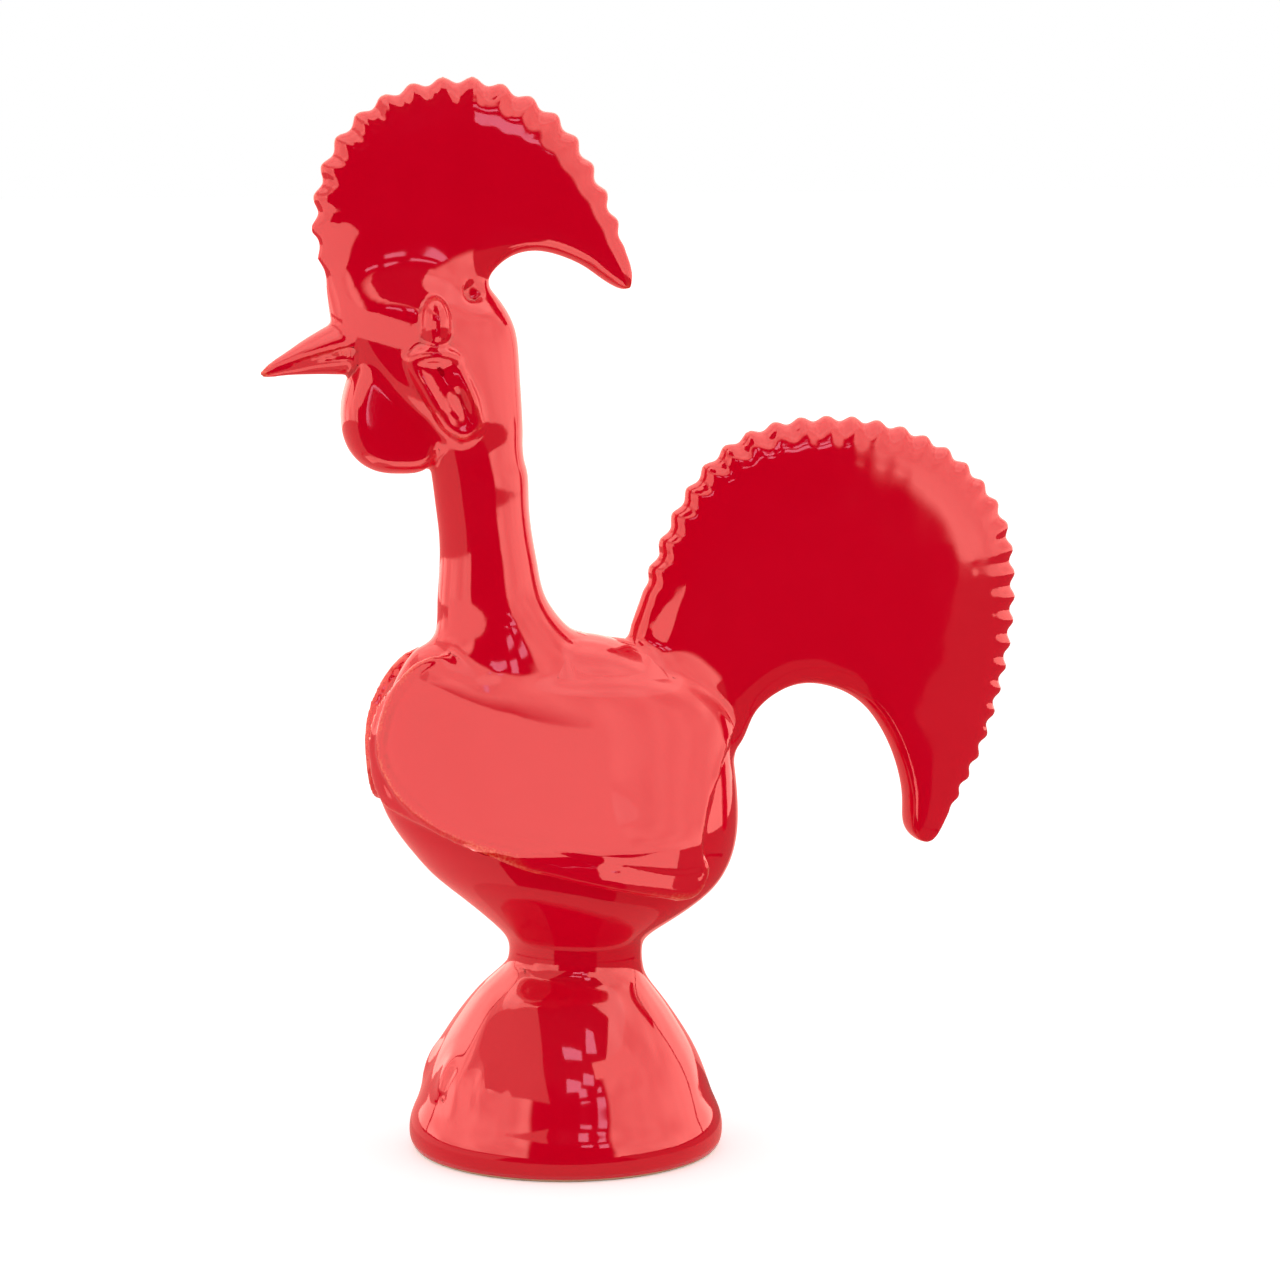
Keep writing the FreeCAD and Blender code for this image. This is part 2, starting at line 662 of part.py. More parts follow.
class Rim:
    """The closed outline of a plate, sampled with its normals, scallop waves and edge rounding."""

    def __init__(self, shares, corner, length, height, edge, step):
        self.shares = shares
        self.edge = edge
        self.points = [Vector(corner.x + length * row[0], 0, corner.z + height * row[1]) for row in shares]
        self.middle = Vector(corner.x + length / 2, 0, corner.z + height / 2)
        self.step = step
        self.curve = Part.BSplineCurve()
        self.curve.interpolate(Points=self.points, PeriodicFlag=True)
        inner = [self.curve.parameter(point) for point in self.points[1:]]
        self.marks = [self.curve.FirstParameter] + inner + [self.curve.LastParameter]
        self.span = (0, 0)
        self.run = 0.0
        self.depth = 0.0
        self.waves = 0
        self.crowding = 0.0

    def scallop(self, pitch, depth, crowding=0.0):
        """Sets a row of scallops along the points that the outline marks with 1."""
        marked = [index for index, row in enumerate(self.shares) if row[-1]]
        self.span = (marked[0], marked[-1])
        self.depth = depth
        self.crowding = crowding
        self.run = self.curve.length(self.marks[marked[0]], self.marks[marked[-1]])
        self.waves = int(round(self.run / pitch))

    def wave(self, index, place):
        """How far the scallops push the outline out at one place."""
        if not self.span[0] <= index < self.span[1]:
            return 0.0
        first = self.marks[self.span[0]]
        done = self.curve.length(first, place) / self.run if place > first else 0.0
        turns = self.waves * (done + self.crowding * done * (done - 1))
        fade = min(1.0, self.waves * done, self.waves * (1 - done))
        return fade * self.depth / 2 * math.cos(2 * math.pi * turns)

    def rounding(self, place, normal, share):
        """How far a face draws in from the rim here, which the outline's own bend may limit."""
        wanted = self.edge * share
        bend = self.curve.curvature(place)
        if wanted * bend <= BEND_LIMIT_SHARE:
            return wanted
        aside = self.curve.centerOfCurvature(place) - self.curve.value(place)
        return BEND_LIMIT_SHARE / bend if aside.dot(normal) < 0 else wanted

    def eased(self, roundings):
        """The edge roundings, none of which changes faster along the rim than the edge can follow."""
        change = self.step * EASE_SHARE
        for turn in (1, -1):
            for index in 2 * list(range(len(roundings)))[::turn]:
                roundings[index] = min(roundings[index], roundings[(index - turn) % len(roundings)] + change)
        return roundings

    def samples(self):
        """Points, outward normals, waves and edge roundings all round the outline."""
        rows = []
        for index in range(len(self.points)):
            start, stop = self.marks[index], self.marks[index + 1]
            stretch = self.curve.length(start, stop)
            count = max(int(round(stretch / self.step)), 2)
            here = self.shares[index][2]
            after = self.shares[(index + 1) % len(self.shares)][2]
            for part in range(count):
                place = self.curve.parameterAtDistance(stretch * part / count, start) if part else start
                tangent = Vector(*self.curve.tangent(place)[0])
                normal = Vector(-tangent.z, 0, tangent.x)
                rounding = self.rounding(place, normal, here + (after - here) * part / count)
                rows.append((self.curve.value(place), normal, self.wave(index, place), rounding))
        roundings = self.eased([row[-1] for row in rows])
        return [row[:-1] + (rounding,) for row, rounding in zip(rows, roundings)]


def rounded_plate(rows, thickness):
    """A plate of the given thickness that draws in from its rim to its two faces."""
    wires = []
    for turn_share in EDGE_TURN_SHARES:
        turn = math.pi / 2 * turn_share
        points = []
        for point, normal, wave, rounding in rows:
            reach = wave * math.cos(turn * SCALLOP_KEEP_SHARE) - rounding * (1 - math.cos(turn))
            points.append(point + normal * reach + Vector(0, thickness / 2 * math.sin(turn), 0))
        curve = Part.BSplineCurve()
        curve.interpolate(Points=points, PeriodicFlag=True, Parameters=list(range(len(points) + 1)))
        wires.append(Part.Wire([curve.toShape()]))
    return Part.makeLoft(wires, True, False)


# Comb, a scalloped plate that straddles the head

comb_rim = Rim(
    COMB_OUTLINE_SHARES, Vector(head_x - size("comb_lead"), 0, head_top - size("comb_sink")),
    size("comb_length"), size("comb_height"), size("comb_edge"),
    size("comb_scallop_pitch") * SCALLOP_STEP_SHARE)
comb_rim.scallop(size("comb_scallop_pitch"), size("comb_scallop_depth"))
comb_plate = rounded_plate(comb_rim.samples(), size("comb_thickness"))
comb_seated = comb_plate.cut([head_outer.Shape, pit_left.Shape, pit_right.Shape])
comb = feature("comb", largest_solid(comb_seated))

# Tail, a scalloped sickle plate with a haunch that spreads it into the rump

tail_corner = Vector(size("body_length") / 2 - size("tail_inset"), 0, body_top - size("tail_drop"))
tail_rim = Rim(
    TAIL_OUTLINE_SHARES, tail_corner,
    size("tail_length"), size("tail_height"), size("tail_edge"),
    size("tail_scallop_pitch") * SCALLOP_STEP_SHARE)
tail_rim.scallop(size("tail_scallop_pitch"), size("tail_scallop_depth"), TAIL_CROWDING_SHARE)
tail_plate = rounded_plate(tail_rim.samples(), size("tail_thickness"))


def haunch():
    """The swelling that carries the tail plate into the rump, lofted through ellipses."""
    over = tail_rim.points[0]
    along_share, up_share = HAUNCH_SEAT_SHARES
    under = tail_corner + Vector(size("tail_length") * along_share, 0, size("tail_height") * up_share)
    across = (over - under).normalize()
    along = Vector(across.z, 0, -across.x)
    start = (over + under) * 0.5 - along * (size("haunch_length") * HAUNCH_BURIED_SHARE)
    wires = []
    for reach, tall_share, wide_share in HAUNCH_RING_SHARES:
        centre = start + along * (size("haunch_length") * reach)
        tall = across * (size("haunch_height") / 2 * tall_share)
        wide = Vector(0, size("haunch_width") / 2 * wide_share, 0)
        wires.append(oval(centre, tall, wide))
    return Part.makeLoft(wires, True, False)


haunch_form = haunch()
tail = feature("tail", tail_plate.fuse(haunch_form).cut(body_outer.Shape))

# Wattles, a left and a right half that meet on the middle plane

wattle_rim = Rim(
    WATTLE_OUTLINE_SHARES,
    Vector(head_x - size("wattle_lead"), 0, head_top - size("wattle_drop")),
    size("wattle_length"), size("wattle_height"), size("wattle_edge"), size("wattle_edge"))
wattle_plate = rounded_plate(wattle_rim.samples(), 2 * size("wattle_thickness"))
wattle_seated = wattle_plate.cut([head_outer.Shape, neck_outer.Shape, beak_form.Shape])


def wattle():
    """The half of the wattle plate on the right of the middle plane."""
    reach = size("wattle_length") + size("wattle_height")
    block = Part.makeBox(2 * reach, reach, 2 * reach)
    block.translate(Vector(wattle_rim.middle.x - reach, 0, wattle_rim.middle.z - reach))
    return largest_solid(wattle_seated.common(block))


wattle_shape = wattle()
wattle_right = feature("wattle_right", wattle_shape)
wattle_left = feature("wattle_left", wattle_shape.mirror(Vector(), Vector(0, 1, 0)))


# Ear lobes, long loops with a groove, leaning back down the cheek

def slot_outline(length, width, level):
    """A round-ended slot that leans back as it goes down, at one distance from the middle plane."""
    radius = width / 2
    top = Vector(0, 0, length / 2 - radius)
    aside = Vector(radius, 0, 0)
    above = Vector(0, 0, radius)
    wire = Part.Wire([
        Part.Arc(top - aside, top + above, top + aside).toShape(),
        Part.LineSegment(top + aside, aside - top).toShape(),
        Part.Arc(aside - top, -top - above, -top - aside).toShape(),
        Part.LineSegment(-top - aside, top - aside).toShape(),
    ])
    wire.rotate(Vector(), Vector(0, 1, 0), -size("lobe_lean_angle"))
    wire.translate(Vector(head_x + size("lobe_setback"), level, head_top - size("lobe_drop")))
    return wire


def ear_lobe():
    """The right ear lobe: a rounded loop proud of the cheek, with a long groove down its middle."""
    face_level = size("head_width") / 2 + size("lobe_stand")
    rounding = size("lobe_stand") / 2
    loop = Part.makeLoft([
        slot_outline(size("lobe_length"), size("lobe_width"), 0),
        slot_outline(size("lobe_length"), size("lobe_width"), face_level - rounding),
        slot_outline(size("lobe_length") - 2 * rounding, size("lobe_width") - 2 * rounding, face_level),
    ], True, True)
    groove_length = size("lobe_length") - size("lobe_width") + size("lobe_groove_width")
    floor = face_level - size("lobe_groove_depth")
    groove = Part.Face(slot_outline(groove_length, size("lobe_groove_width"), floor))
    groove = groove.extrude(Vector(0, size("lobe_groove_depth") + size("overrun"), 0))
    cutters = [groove, head_outer.Shape, neck_outer.Shape, ball_right.Shape, wattle_seated]
    return largest_solid(loop.cut(cutters))


lobe_shape = ear_lobe()
ear_lobe_right = feature("ear_lobe_right", lobe_shape)
ear_lobe_left = feature("ear_lobe_left", lobe_shape.mirror(Vector(), Vector(0, 1, 0)))


# Wings, panels over the body's sides that stand off it along their front and lower edges

def wing_cloak():
    """The body's form pushed out by the stand of the wings."""
    wires = []
    body_rows = BODY_RING_SHARES[-len(WING_STAND_SHARES):]
    for (rise, centre, long_share, wide_share), stands in zip(body_rows, WING_STAND_SHARES):
        side, front, rear = [size("wing_stand") * share for share in stands]
        middle = size("body_length") * centre + (rear - front) / 2
        half_length = size("body_length") / 2 * long_share + (front + rear) / 2
        half_width = size("body_width") / 2 * wide_share + side
        level = size("bell_height") + size("body_height") * rise
        wires.append(oval(Vector(middle, 0, level), Vector(half_length, 0, 0), Vector(0, half_width, 0)))
    return Part.makeLoft(wires, True, False)


def side_panel():
    """The wing's outline as a prism over the right half of the body."""
    points = [
        Vector(size("body_length") * along, 0, size("bell_height") + size("body_height") * rise)
        for along, rise in WING_OUTLINE_SHARES]
    curve = Part.BSplineCurve()
    curve.interpolate(Points=points, PeriodicFlag=True)
    return Part.Face(Part.Wire([curve.toShape()])).extrude(Vector(0, size("body_width"), 0))


def breast_opening():
    """The gap between the two wings over the breast, as a prism along the body."""
    rows = [
        (size("breast_gap") * gap, size("bell_height") + size("body_height") * rise)
        for rise, gap in BREAST_GAP_SHARES]
    sides = []
    for side in (-1, 1):
        curve = Part.BSplineCurve()
        curve.interpolate(Points=[Vector(-size("body_length"), side * gap, level) for gap, level in rows])
        sides.append(curve)
    over = Part.LineSegment(sides[0].StartPoint, sides[1].StartPoint)
    under = Part.LineSegment(sides[1].EndPoint, sides[0].EndPoint)
    edges = [curve.toShape() for curve in (sides[0], over, sides[1], under)]
    face = Part.Face(Part.Wire(Part.__sortEdges__(edges)))
    return face.extrude(Vector(size("body_length"), 0, 0))


wing_panel = wing_cloak().common(side_panel())
wing_panel = wing_panel.cut([body_outer.Shape, breast_opening(), neck_outer.Shape, tail_plate, haunch_form])
wing_shape = largest_solid(wing_panel)
wing_right = feature("wing_right", wing_shape)
wing_left = feature("wing_left", wing_shape.mirror(Vector(), Vector(0, 1, 0)))


# Legs, ridges down the front of the bell that end in three toes each

def bell_at(share):
    """The centre and the radius of the bell at a share of its height, between its rings."""
    for (low, low_centre, low_radius), (high, high_centre, high_radius) in zip(
            BELL_RING_SHARES, BELL_RING_SHARES[1:]):
        if share <= high:
            part = (share - low) / (high - low)
            centre = low_centre + (high_centre - low_centre) * part
            radius = low_radius + (high_radius - low_radius) * part
            return size("bell_radius") * centre, size("bell_radius") * radius
    return size("bell_radius") * BELL_RING_SHARES[-1][1], size("bell_radius") * BELL_RING_SHARES[-1][2]


def on_bell(share, angle, sink):
    """A point on the bell, turned by angle from the front and sunk into its wall."""
    centre, radius = bell_at(share)
    reach = radius - sink
    turn = math.radians(angle)
    return Vector(centre - reach * math.cos(turn), reach * math.sin(turn), size("bell_height") * share)


def toe(angle):
    """One toe, an egg that lies against the bell."""
    egg = Part.makeSphere(size("toe_width") / 2)
    stretch = FreeCAD.Matrix()
    stretch.scale(1, 1, size("toe_length") / size("toe_width"))
    egg = egg.transformGeometry(stretch)
    slope_foot = on_bell(TOE_RISE_SHARE / 2, 0, 0)
    slope_top = on_bell(TOE_RISE_SHARE, 0, 0)
    lean = math.degrees(math.atan2(slope_top.x - slope_foot.x, slope_top.z - slope_foot.z))
    egg.rotate(Vector(), Vector(0, 1, 0), lean)
    egg.rotate(Vector(), Vector(0, 0, 1), -angle)
    egg.translate(on_bell(TOE_RISE_SHARE, angle, size("toe_width") * TOE_SINK_SHARE))
    return egg


def leg():
    """The right leg with its toes, cut to the bell."""
    turn = size("leg_spread_angle")
    wires = []
    for rise, wide_share, sink_share in LEG_RING_SHARES:
        centre = on_bell(rise, turn, size("leg_width") * sink_share)
        wires.append(Part.Wire([Part.Circle(centre, UP, size("leg_width") / 2 * wide_share).toShape()]))
    ridge = Part.makeLoft(wires, True, False)
    toes = [toe(turn + size("toe_spread_angle") * step) for step in (-1, 0, 1)]
    return ridge.fuse(toes).cut(bell_outer.Shape)


leg_shape = leg()
leg_right = feature("leg_right", leg_shape)
leg_left = feature("leg_left", leg_shape.mirror(Vector(), Vector(0, 1, 0)))

doc.recompute()

MEMBERS = [
    foot_bell, leg_left, leg_right, body, wing_left, wing_right, tail, neck, head, comb,
    upper_beak, lower_beak, eye_left, eye_right, ear_lobe_left, ear_lobe_right, wattle_left, wattle_right,
]

for item in doc.Objects:
    if "Invalid" in item.State or "Error" in item.State:
        raise RuntimeError("%s did not recompute: %s" % (item.Label, item.State))
for member in MEMBERS:
    shape = member.Shape
    if shape.isNull() or not shape.isValid() or not shape.Solids:
        raise RuntimeError("%s has no valid solid" % member.Label)

os.makedirs("parts", exist_ok=True)
for member in MEMBERS:
    print("%-16s %d solid(s) %10.1f mm3  z %.1f to %.1f" % (
        member.Label, len(member.Shape.Solids), member.Shape.Volume,
        member.Shape.BoundBox.ZMin, member.Shape.BoundBox.ZMax))
    member.Shape.exportStep("parts/%s.step" % member.Label)
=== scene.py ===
# %% [markdown]
# # A glazed rooster on a bell foot
# This notebook dresses a CAD model of an earthenware rooster. The real one is built from clay members
# that are thrown, pressed or modelled by hand, luted together while they are leather hard, smoothed
# with a wet sponge and fired once under one coat of red glaze. The same order is followed here: the
# members come from the CAD frame, coils are rolled on, everything is luted into one skin, the joints
# are sponged, the details are pressed in, and at the end the skin is parted again, so that every
# member is a piece of its own.

# %% Load the CAD frame
import math
import bmesh
import bpy
import numpy as np
from mathutils import Matrix, Vector, noise
from mathutils.bvhtree import BVHTree


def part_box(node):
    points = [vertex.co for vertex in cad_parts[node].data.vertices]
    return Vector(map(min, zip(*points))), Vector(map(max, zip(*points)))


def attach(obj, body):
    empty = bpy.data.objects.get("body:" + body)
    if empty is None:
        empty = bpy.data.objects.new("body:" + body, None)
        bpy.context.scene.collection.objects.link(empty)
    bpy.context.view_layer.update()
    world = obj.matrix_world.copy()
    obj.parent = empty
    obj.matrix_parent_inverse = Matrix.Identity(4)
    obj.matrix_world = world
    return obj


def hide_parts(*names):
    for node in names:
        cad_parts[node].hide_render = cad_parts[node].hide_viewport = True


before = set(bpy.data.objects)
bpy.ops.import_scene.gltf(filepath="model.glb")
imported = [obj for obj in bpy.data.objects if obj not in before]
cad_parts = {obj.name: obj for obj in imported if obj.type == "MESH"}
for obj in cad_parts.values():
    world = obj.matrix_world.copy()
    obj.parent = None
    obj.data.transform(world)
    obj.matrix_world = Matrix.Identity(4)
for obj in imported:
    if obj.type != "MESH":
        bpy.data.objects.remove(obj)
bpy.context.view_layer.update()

MM = 0.001
MEMBERS = sorted(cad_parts)
SIDES = {"left": -1, "right": 1}
print("members:", ", ".join(MEMBERS))

# %% [markdown]
# ## The clay members
# A node of the frame is a soup of loose triangles. Each member is copied and its doubles are merged,
# so that the copy is a closed skin that Blender can work on. The node itself is left as it is. The ear
# lobes are not copied: they are rolled from coils below, in the same place and about the same size.


# %% Copy the members
def member(node):
    """A closed copy of one CAD member."""
    form = bmesh.new()
    form.from_mesh(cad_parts[node].data)
    bmesh.ops.remove_doubles(form, verts=form.verts, dist=0.01 * MM)
    return form


def as_mesh(form, name):
    """Turns a bmesh into a mesh and frees it."""
    mesh = bpy.data.meshes.new(name)
    form.to_mesh(mesh)
    form.free()
    return mesh


clay = bmesh.new()
for node in MEMBERS:
    if not node.startswith("ear_lobe"):
        clay.from_mesh(as_mesh(member(node), node + "_copy"))

trees = {}
for node in MEMBERS:
    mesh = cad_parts[node].data
    trees[node] = BVHTree.FromPolygons([v.co for v in mesh.vertices], [p.vertices for p in mesh.polygons])
print("clay:", len(clay.verts), "points")

# %% [markdown]
# ## Rolled coils
# The lip round a wing, the loop of an ear lobe and the dome of an eye are soft and rounded, because
# they are rolled between the fingers and pressed on. A coil is made here from pellets, spheres that
# sit so close together along a path that the luting turns them into one smooth roll.


# %% Roll the coils
def curve_through(rows, step):
    """Rows of numbers along a smooth curve through the given rows, about one step apart."""
    rows = np.array(rows, float)
    ends = np.vstack([2 * rows[0] - rows[1], rows, 2 * rows[-1] - rows[-2]])
    out = []
    for index in range(1, len(ends) - 2):
        before, here, after, beyond = ends[index - 1:index + 3]
        count = max(int(np.linalg.norm((after - here)[:3]) / step), 1)
        for t in np.arange(count) / count:
            out.append(0.5 * (
                2 * here + (after - before) * t + (2 * before - 5 * here + 4 * after - beyond) * t * t
                + (3 * here - before - 3 * after + beyond) * t ** 3))
    out.append(rows[-1])
    return out


def coil(rows):
    """Rolls a coil along a path whose rows are x, y, z and radius in millimetres."""
    form = bmesh.new()
    for x, y, z, radius in rows:
        bmesh.ops.create_icosphere(
            form, subdivisions=2, radius=radius * MM, matrix=Matrix.Translation(Vector((x, y, z)) * MM))
    clay.from_mesh(as_mesh(form, "coil"))


# The lip of the right wing, from the shoulder down the front and along the belly to the tip, and
# from there up the sharp rear edge
WING_LIP = [
    (-31.8, 12.0, 127.0, 0.7), (-37.5, 12.0, 121.0, 1.1), (-43.2, 11.2, 114.5, 1.4),
    (-46.5, 10.0, 108.0, 1.5), (-48.9, 9.4, 99.0, 1.6), (-48.3, 11.2, 92.7, 1.6),
    (-45.6, 16.5, 86.8, 1.6), (-40.1, 23.0, 82.0, 1.6), (-31.4, 28.6, 78.1, 1.6),
    (-18.7, 31.6, 73.9, 1.6), (-5.4, 32.0, 70.2, 1.6), (8.5, 30.6, 66.8, 1.5),
    (19.4, 27.6, 64.4, 1.4), (24.7, 25.4, 64.2, 1.4), (27.4, 24.0, 67.8, 1.3),
    (26.9, 22.6, 74.1, 1.0), (28.3, 20.0, 80.2, 0.9), (32.5, 16.0, 88.8, 0.8),
    (37.7, 12.0, 96.0, 0.7),
]
# How deep the lip sits in the wing, as a share of its radius
LIP_SUNK = 0.30

# The coils of the right ear lobe: the hood over the top, the front rail, the rear rail, the lower end,
# the bed of the groove between the rails, and the filling under the hood
LOBE_COILS = [
    [
        (-37.4, 10.6, 186.4, 1.9), (-34.8, 11.4, 187.6, 2.3), (-31.6, 11.6, 187.7, 2.3),
        (-28.0, 11.0, 186.6, 2.0),
    ],
    [
        (-37.2, 10.4, 185.4, 1.9), (-34.6, 10.9, 180.6, 1.9), (-32.0, 10.9, 176.2, 1.9),
        (-29.0, 10.3, 171.6, 1.9),
    ],
    [
        (-28.0, 10.9, 186.0, 1.7), (-26.0, 11.2, 181.6, 1.7), (-24.0, 11.2, 177.0, 1.7),
        (-22.8, 10.5, 172.4, 1.7),
    ],
    [(-29.0, 10.3, 171.6, 1.9), (-26.0, 10.2, 169.8, 2.0), (-22.8, 10.3, 171.4, 1.8)],
    [
        (-33.6, 10.2, 186.4, 2.0), (-33.0, 10.3, 184.4, 2.0), (-30.6, 10.5, 179.8, 2.0),
        (-28.2, 10.5, 175.2, 2.0), (-26.2, 10.0, 172.4, 2.0),
    ],
    [(-31.0, 10.4, 186.2, 2.2), (-29.0, 10.5, 184.0, 2.1), (-28.4, 10.5, 181.0, 1.9)],
]
LIP_STEP = 0.7
LOBE_STEP = 0.5

# The dome of the right eye: its middle and its half axes
EYE_PLACE = (-32.2, 9.7, 194.4)
EYE_SIZE = (3.7, 4.4, 6.4)

for side in SIDES.values():
    lip = []
    wing = "wing_left" if side < 0 else "wing_right"
    for x, y, z, radius in curve_through(WING_LIP, LIP_STEP):
        on_wing = trees[wing].find_nearest(Vector((x, y * side, z)) * MM)[0]
        on_body = trees["body"].find_nearest(on_wing)[0]
        inward = (on_body - on_wing) / MM
        if inward.length > 0.5:
            inward.normalize()
        place = on_wing / MM + inward * radius * LIP_SUNK
        lip.append((*place, radius))
    coil(lip)
    for rows in LOBE_COILS:
        coil(curve_through([(x, y * side, z, radius) for x, y, z, radius in rows], LOBE_STEP))
    eye_x, eye_y, eye_z = EYE_PLACE
    dome = Matrix.Translation(Vector((eye_x, eye_y * side, eye_z)) * MM) @ Matrix.Diagonal((*EYE_SIZE, 1))
    bmesh.ops.create_uvsphere(clay, u_segments=32, v_segments=24, radius=MM, matrix=dome)
print("clay with coils:", len(clay.verts), "points")

# %% [markdown]
# ## Luting the members together
# On the real rooster the clay runs through every joint and nothing shows where one member stops. A
# voxel remesh does the same: it keeps only the outside of all members together, and its even net of
# small faces can be sponged and pressed like clay. The hollow of the body would be kept too, because
# a vent joins it to the hollow of the bell, so the vent gets a plug first.

# %% Lute
CLAY_GRAIN = 0.55 * MM
PLUG_RADIUS = 2.4 * MM
PLUG_DEPTH = 9 * MM
PLUG_DROP = 3 * MM
VENT_SHIFT = 0.07

bell_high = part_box("foot_bell")[1]
vent_x = bell_high.x * VENT_SHIFT
plug_place = Matrix.Translation((vent_x, 0, bell_high.z - PLUG_DROP + PLUG_DEPTH / 2))
bmesh.ops.create_cone(
    clay, cap_ends=True, segments=24, radius1=PLUG_RADIUS, radius2=PLUG_RADIUS, depth=PLUG_DEPTH,
    matrix=plug_place)

luted = bpy.data.objects.new("luted", as_mesh(clay, "luted"))
bpy.context.scene.collection.objects.link(luted)
remesh = luted.modifiers.new("lute", "REMESH")
remesh.mode = "VOXEL"
remesh.voxel_size = CLAY_GRAIN
skin_mesh = bpy.data.meshes.new_from_object(luted.evaluated_get(bpy.context.evaluated_depsgraph_get()))
bpy.data.objects.remove(luted)
skin = bmesh.new()
skin.from_mesh(skin_mesh)
edges = np.array([[v.index for v in edge.verts] for edge in skin.edges])
print("skin:", len(skin.verts), "points,", len(skin.faces), "faces")


# %% Places and directions as numbers
def places(form):
    """The points of a bmesh as an array, in millimetres."""
    return np.array([v.co for v in form.verts]) / MM


def set_places(form, points):
    """Puts the points of a bmesh where the array says."""
    for vertex, point in zip(form.verts, points * MM):
        vertex.co = point


def facings(form):
    """The normals of a bmesh as an array."""
    form.normal_update()
    return np.array([v.normal for v in form.verts])


def mean_of_neighbours(values):
    """For each point of the skin, the mean of a value over the points it shares an edge with."""
    total = np.zeros_like(values)
    count = np.bincount(edges.ravel(), minlength=len(values)).astype(float)
    for near, far in ((0, 1), (1, 0)):
        if values.ndim == 1:
            total += np.bincount(edges[:, near], weights=values[edges[:, far]], minlength=len(values))
        else:
            for axis in range(values.shape[1]):
                total[:, axis] += np.bincount(
                    edges[:, near], weights=values[edges[:, far], axis], minlength=len(values))
    return total / (count if values.ndim == 1 else count[:, None])


def smooth_step(value, low, high):
    """A soft ramp from 0 at low to 1 at high."""
    part = np.clip((value - low) / (high - low), 0, 1)
    return part * part * (3 - 2 * part)


# %% [markdown]
# ## Which member is where
# The joints are found by distance: a point of the skin that is close to two members lies on their
# joint. The distances are also what the skin is parted by at the end.

# %% Distances to the members
FAR = 12.0


def distances(points):
    """For each member, how far each point is from its surface, in millimetres."""
    table = np.full((len(MEMBERS), len(points)), FAR)
    for row, node in enumerate(MEMBERS):
        low, high = [np.array(corner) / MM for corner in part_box(node)]
        near = np.all((points > low - FAR / 2) & (points < high + FAR / 2), axis=1)
        for index in np.nonzero(near)[0]:
            found = trees[node].find_nearest(Vector(points[index] * MM), FAR * MM)
            if found[0] is not None:
                table[row, index] = found[3] / MM
    return table


points = places(skin)
away = distances(points)
to = {node: away[row] for row, node in enumerate(MEMBERS)}
order = np.argsort(away, axis=0)
nearest, second = order[0], order[1]
to_joint = away[second, np.arange(len(points))]
print("points on a joint:", int((to_joint < 1).sum()))

# %% [markdown]
# ## Sponging the joints
# A wet sponge and the glaze round every inner corner. How wide the rounding is depends on the joint:
# wide where the tail and the neck grow out of the body, narrow round an eye. Each pass moves a point
# half way to the mean of its neighbours, and each joint gets as many passes as its rounding needs. The
# broad joints are blended across the rooster only, which leaves its outline from the side alone.


# %% Sponge
SPONGE_RATE = 1.1
PULL = 0.5
PUSH_BACK = -0.52


def sponge(strength, width, axes=(1, 1, 1)):
    """Smooths the skin where strength, 0 to 1, is over 0; width is how wide it rounds, in millimetres."""
    passes = SPONGE_RATE * strength * (width * MM / CLAY_GRAIN) ** 2
    near = edges[(passes > 0)[edges].any(axis=1)]
    own, local = np.unique(near, return_inverse=True)
    local = local.reshape(near.shape)
    count = np.bincount(local.ravel())[:, None]
    left, spots = passes[own], points[own]
    for step in range(int(passes.max()) + 1):
        total = np.zeros_like(spots)
        for near_end, far_end in ((0, 1), (1, 0)):
            for axis in range(3):
                total[:, axis] += np.bincount(
                    local[:, near_end], weights=spots[local[:, far_end], axis], minlength=len(spots))
        spots += (total / count - spots) * PULL * np.clip(left - step, 0, 1)[:, None] * np.array(axes)
    points[own] = spots


def settle(rounds):
    """Takes the grain out of the whole skin without shrinking it."""
    for step in range(rounds):
        for factor in (PULL, PUSH_BACK):
            points[:] += (mean_of_neighbours(points) - points) * factor


JOINT_ROUNDING = {
    "foot_bell": 5.0, "body": 5.0, "neck": 5.0, "head": 5.0, "comb": 4.0, "tail": 4.5,
    "wing_left": 1.1, "wing_right": 1.1, "leg_left": 4.5, "leg_right": 4.5,
    "upper_beak": 1.6, "lower_beak": 1.6, "eye_left": 1.0, "eye_right": 1.0,
    "ear_lobe_left": 2.4, "ear_lobe_right": 2.4, "wattle_left": 2.4, "wattle_right": 2.4,
}
# The front of a wing keeps its narrow rounding, and its top runs softly into the body
WING_TOP = (99.0, 112.0)
WING_TOP_ROUNDING = 5.0
WING_FRONT = (28, 36)
ON_WING = 1.0
rounding = np.array([JOINT_ROUNDING[node] for node in MEMBERS])
joint_width = np.minimum(rounding[nearest], rounding[second])
to_wing = np.minimum(to["wing_left"], to["wing_right"])
lip_front = smooth_step(-points[:, 0], *WING_FRONT)
wing_top = smooth_step(points[:, 2], *WING_TOP) * (1 - lip_front) * (to_wing < ON_WING)
joint_width = joint_width + (WING_TOP_ROUNDING - joint_width) * wing_top
sponge(np.clip(1 - to_joint / joint_width, 0, 1), joint_width)

BLENDS = [("comb", "head", 11.0), ("neck", "body", 8.0), ("neck", "head", 7.0), ("tail", "body", 8.0)]
SMALL_MEMBERS = ("eye", "ear", "upper", "lower", "wattle", "wing")
ACROSS = (0, 1, 0)
clear = smooth_step(np.minimum.reduce([to[node] for node in MEMBERS if node.startswith(SMALL_MEMBERS)]), 1, 4)
for one, other, width in BLENDS:
    off_joint = np.maximum(to[one], to[other])
    sponge(np.clip(1 - off_joint / width, 0, 1) * clear, width, ACROSS)

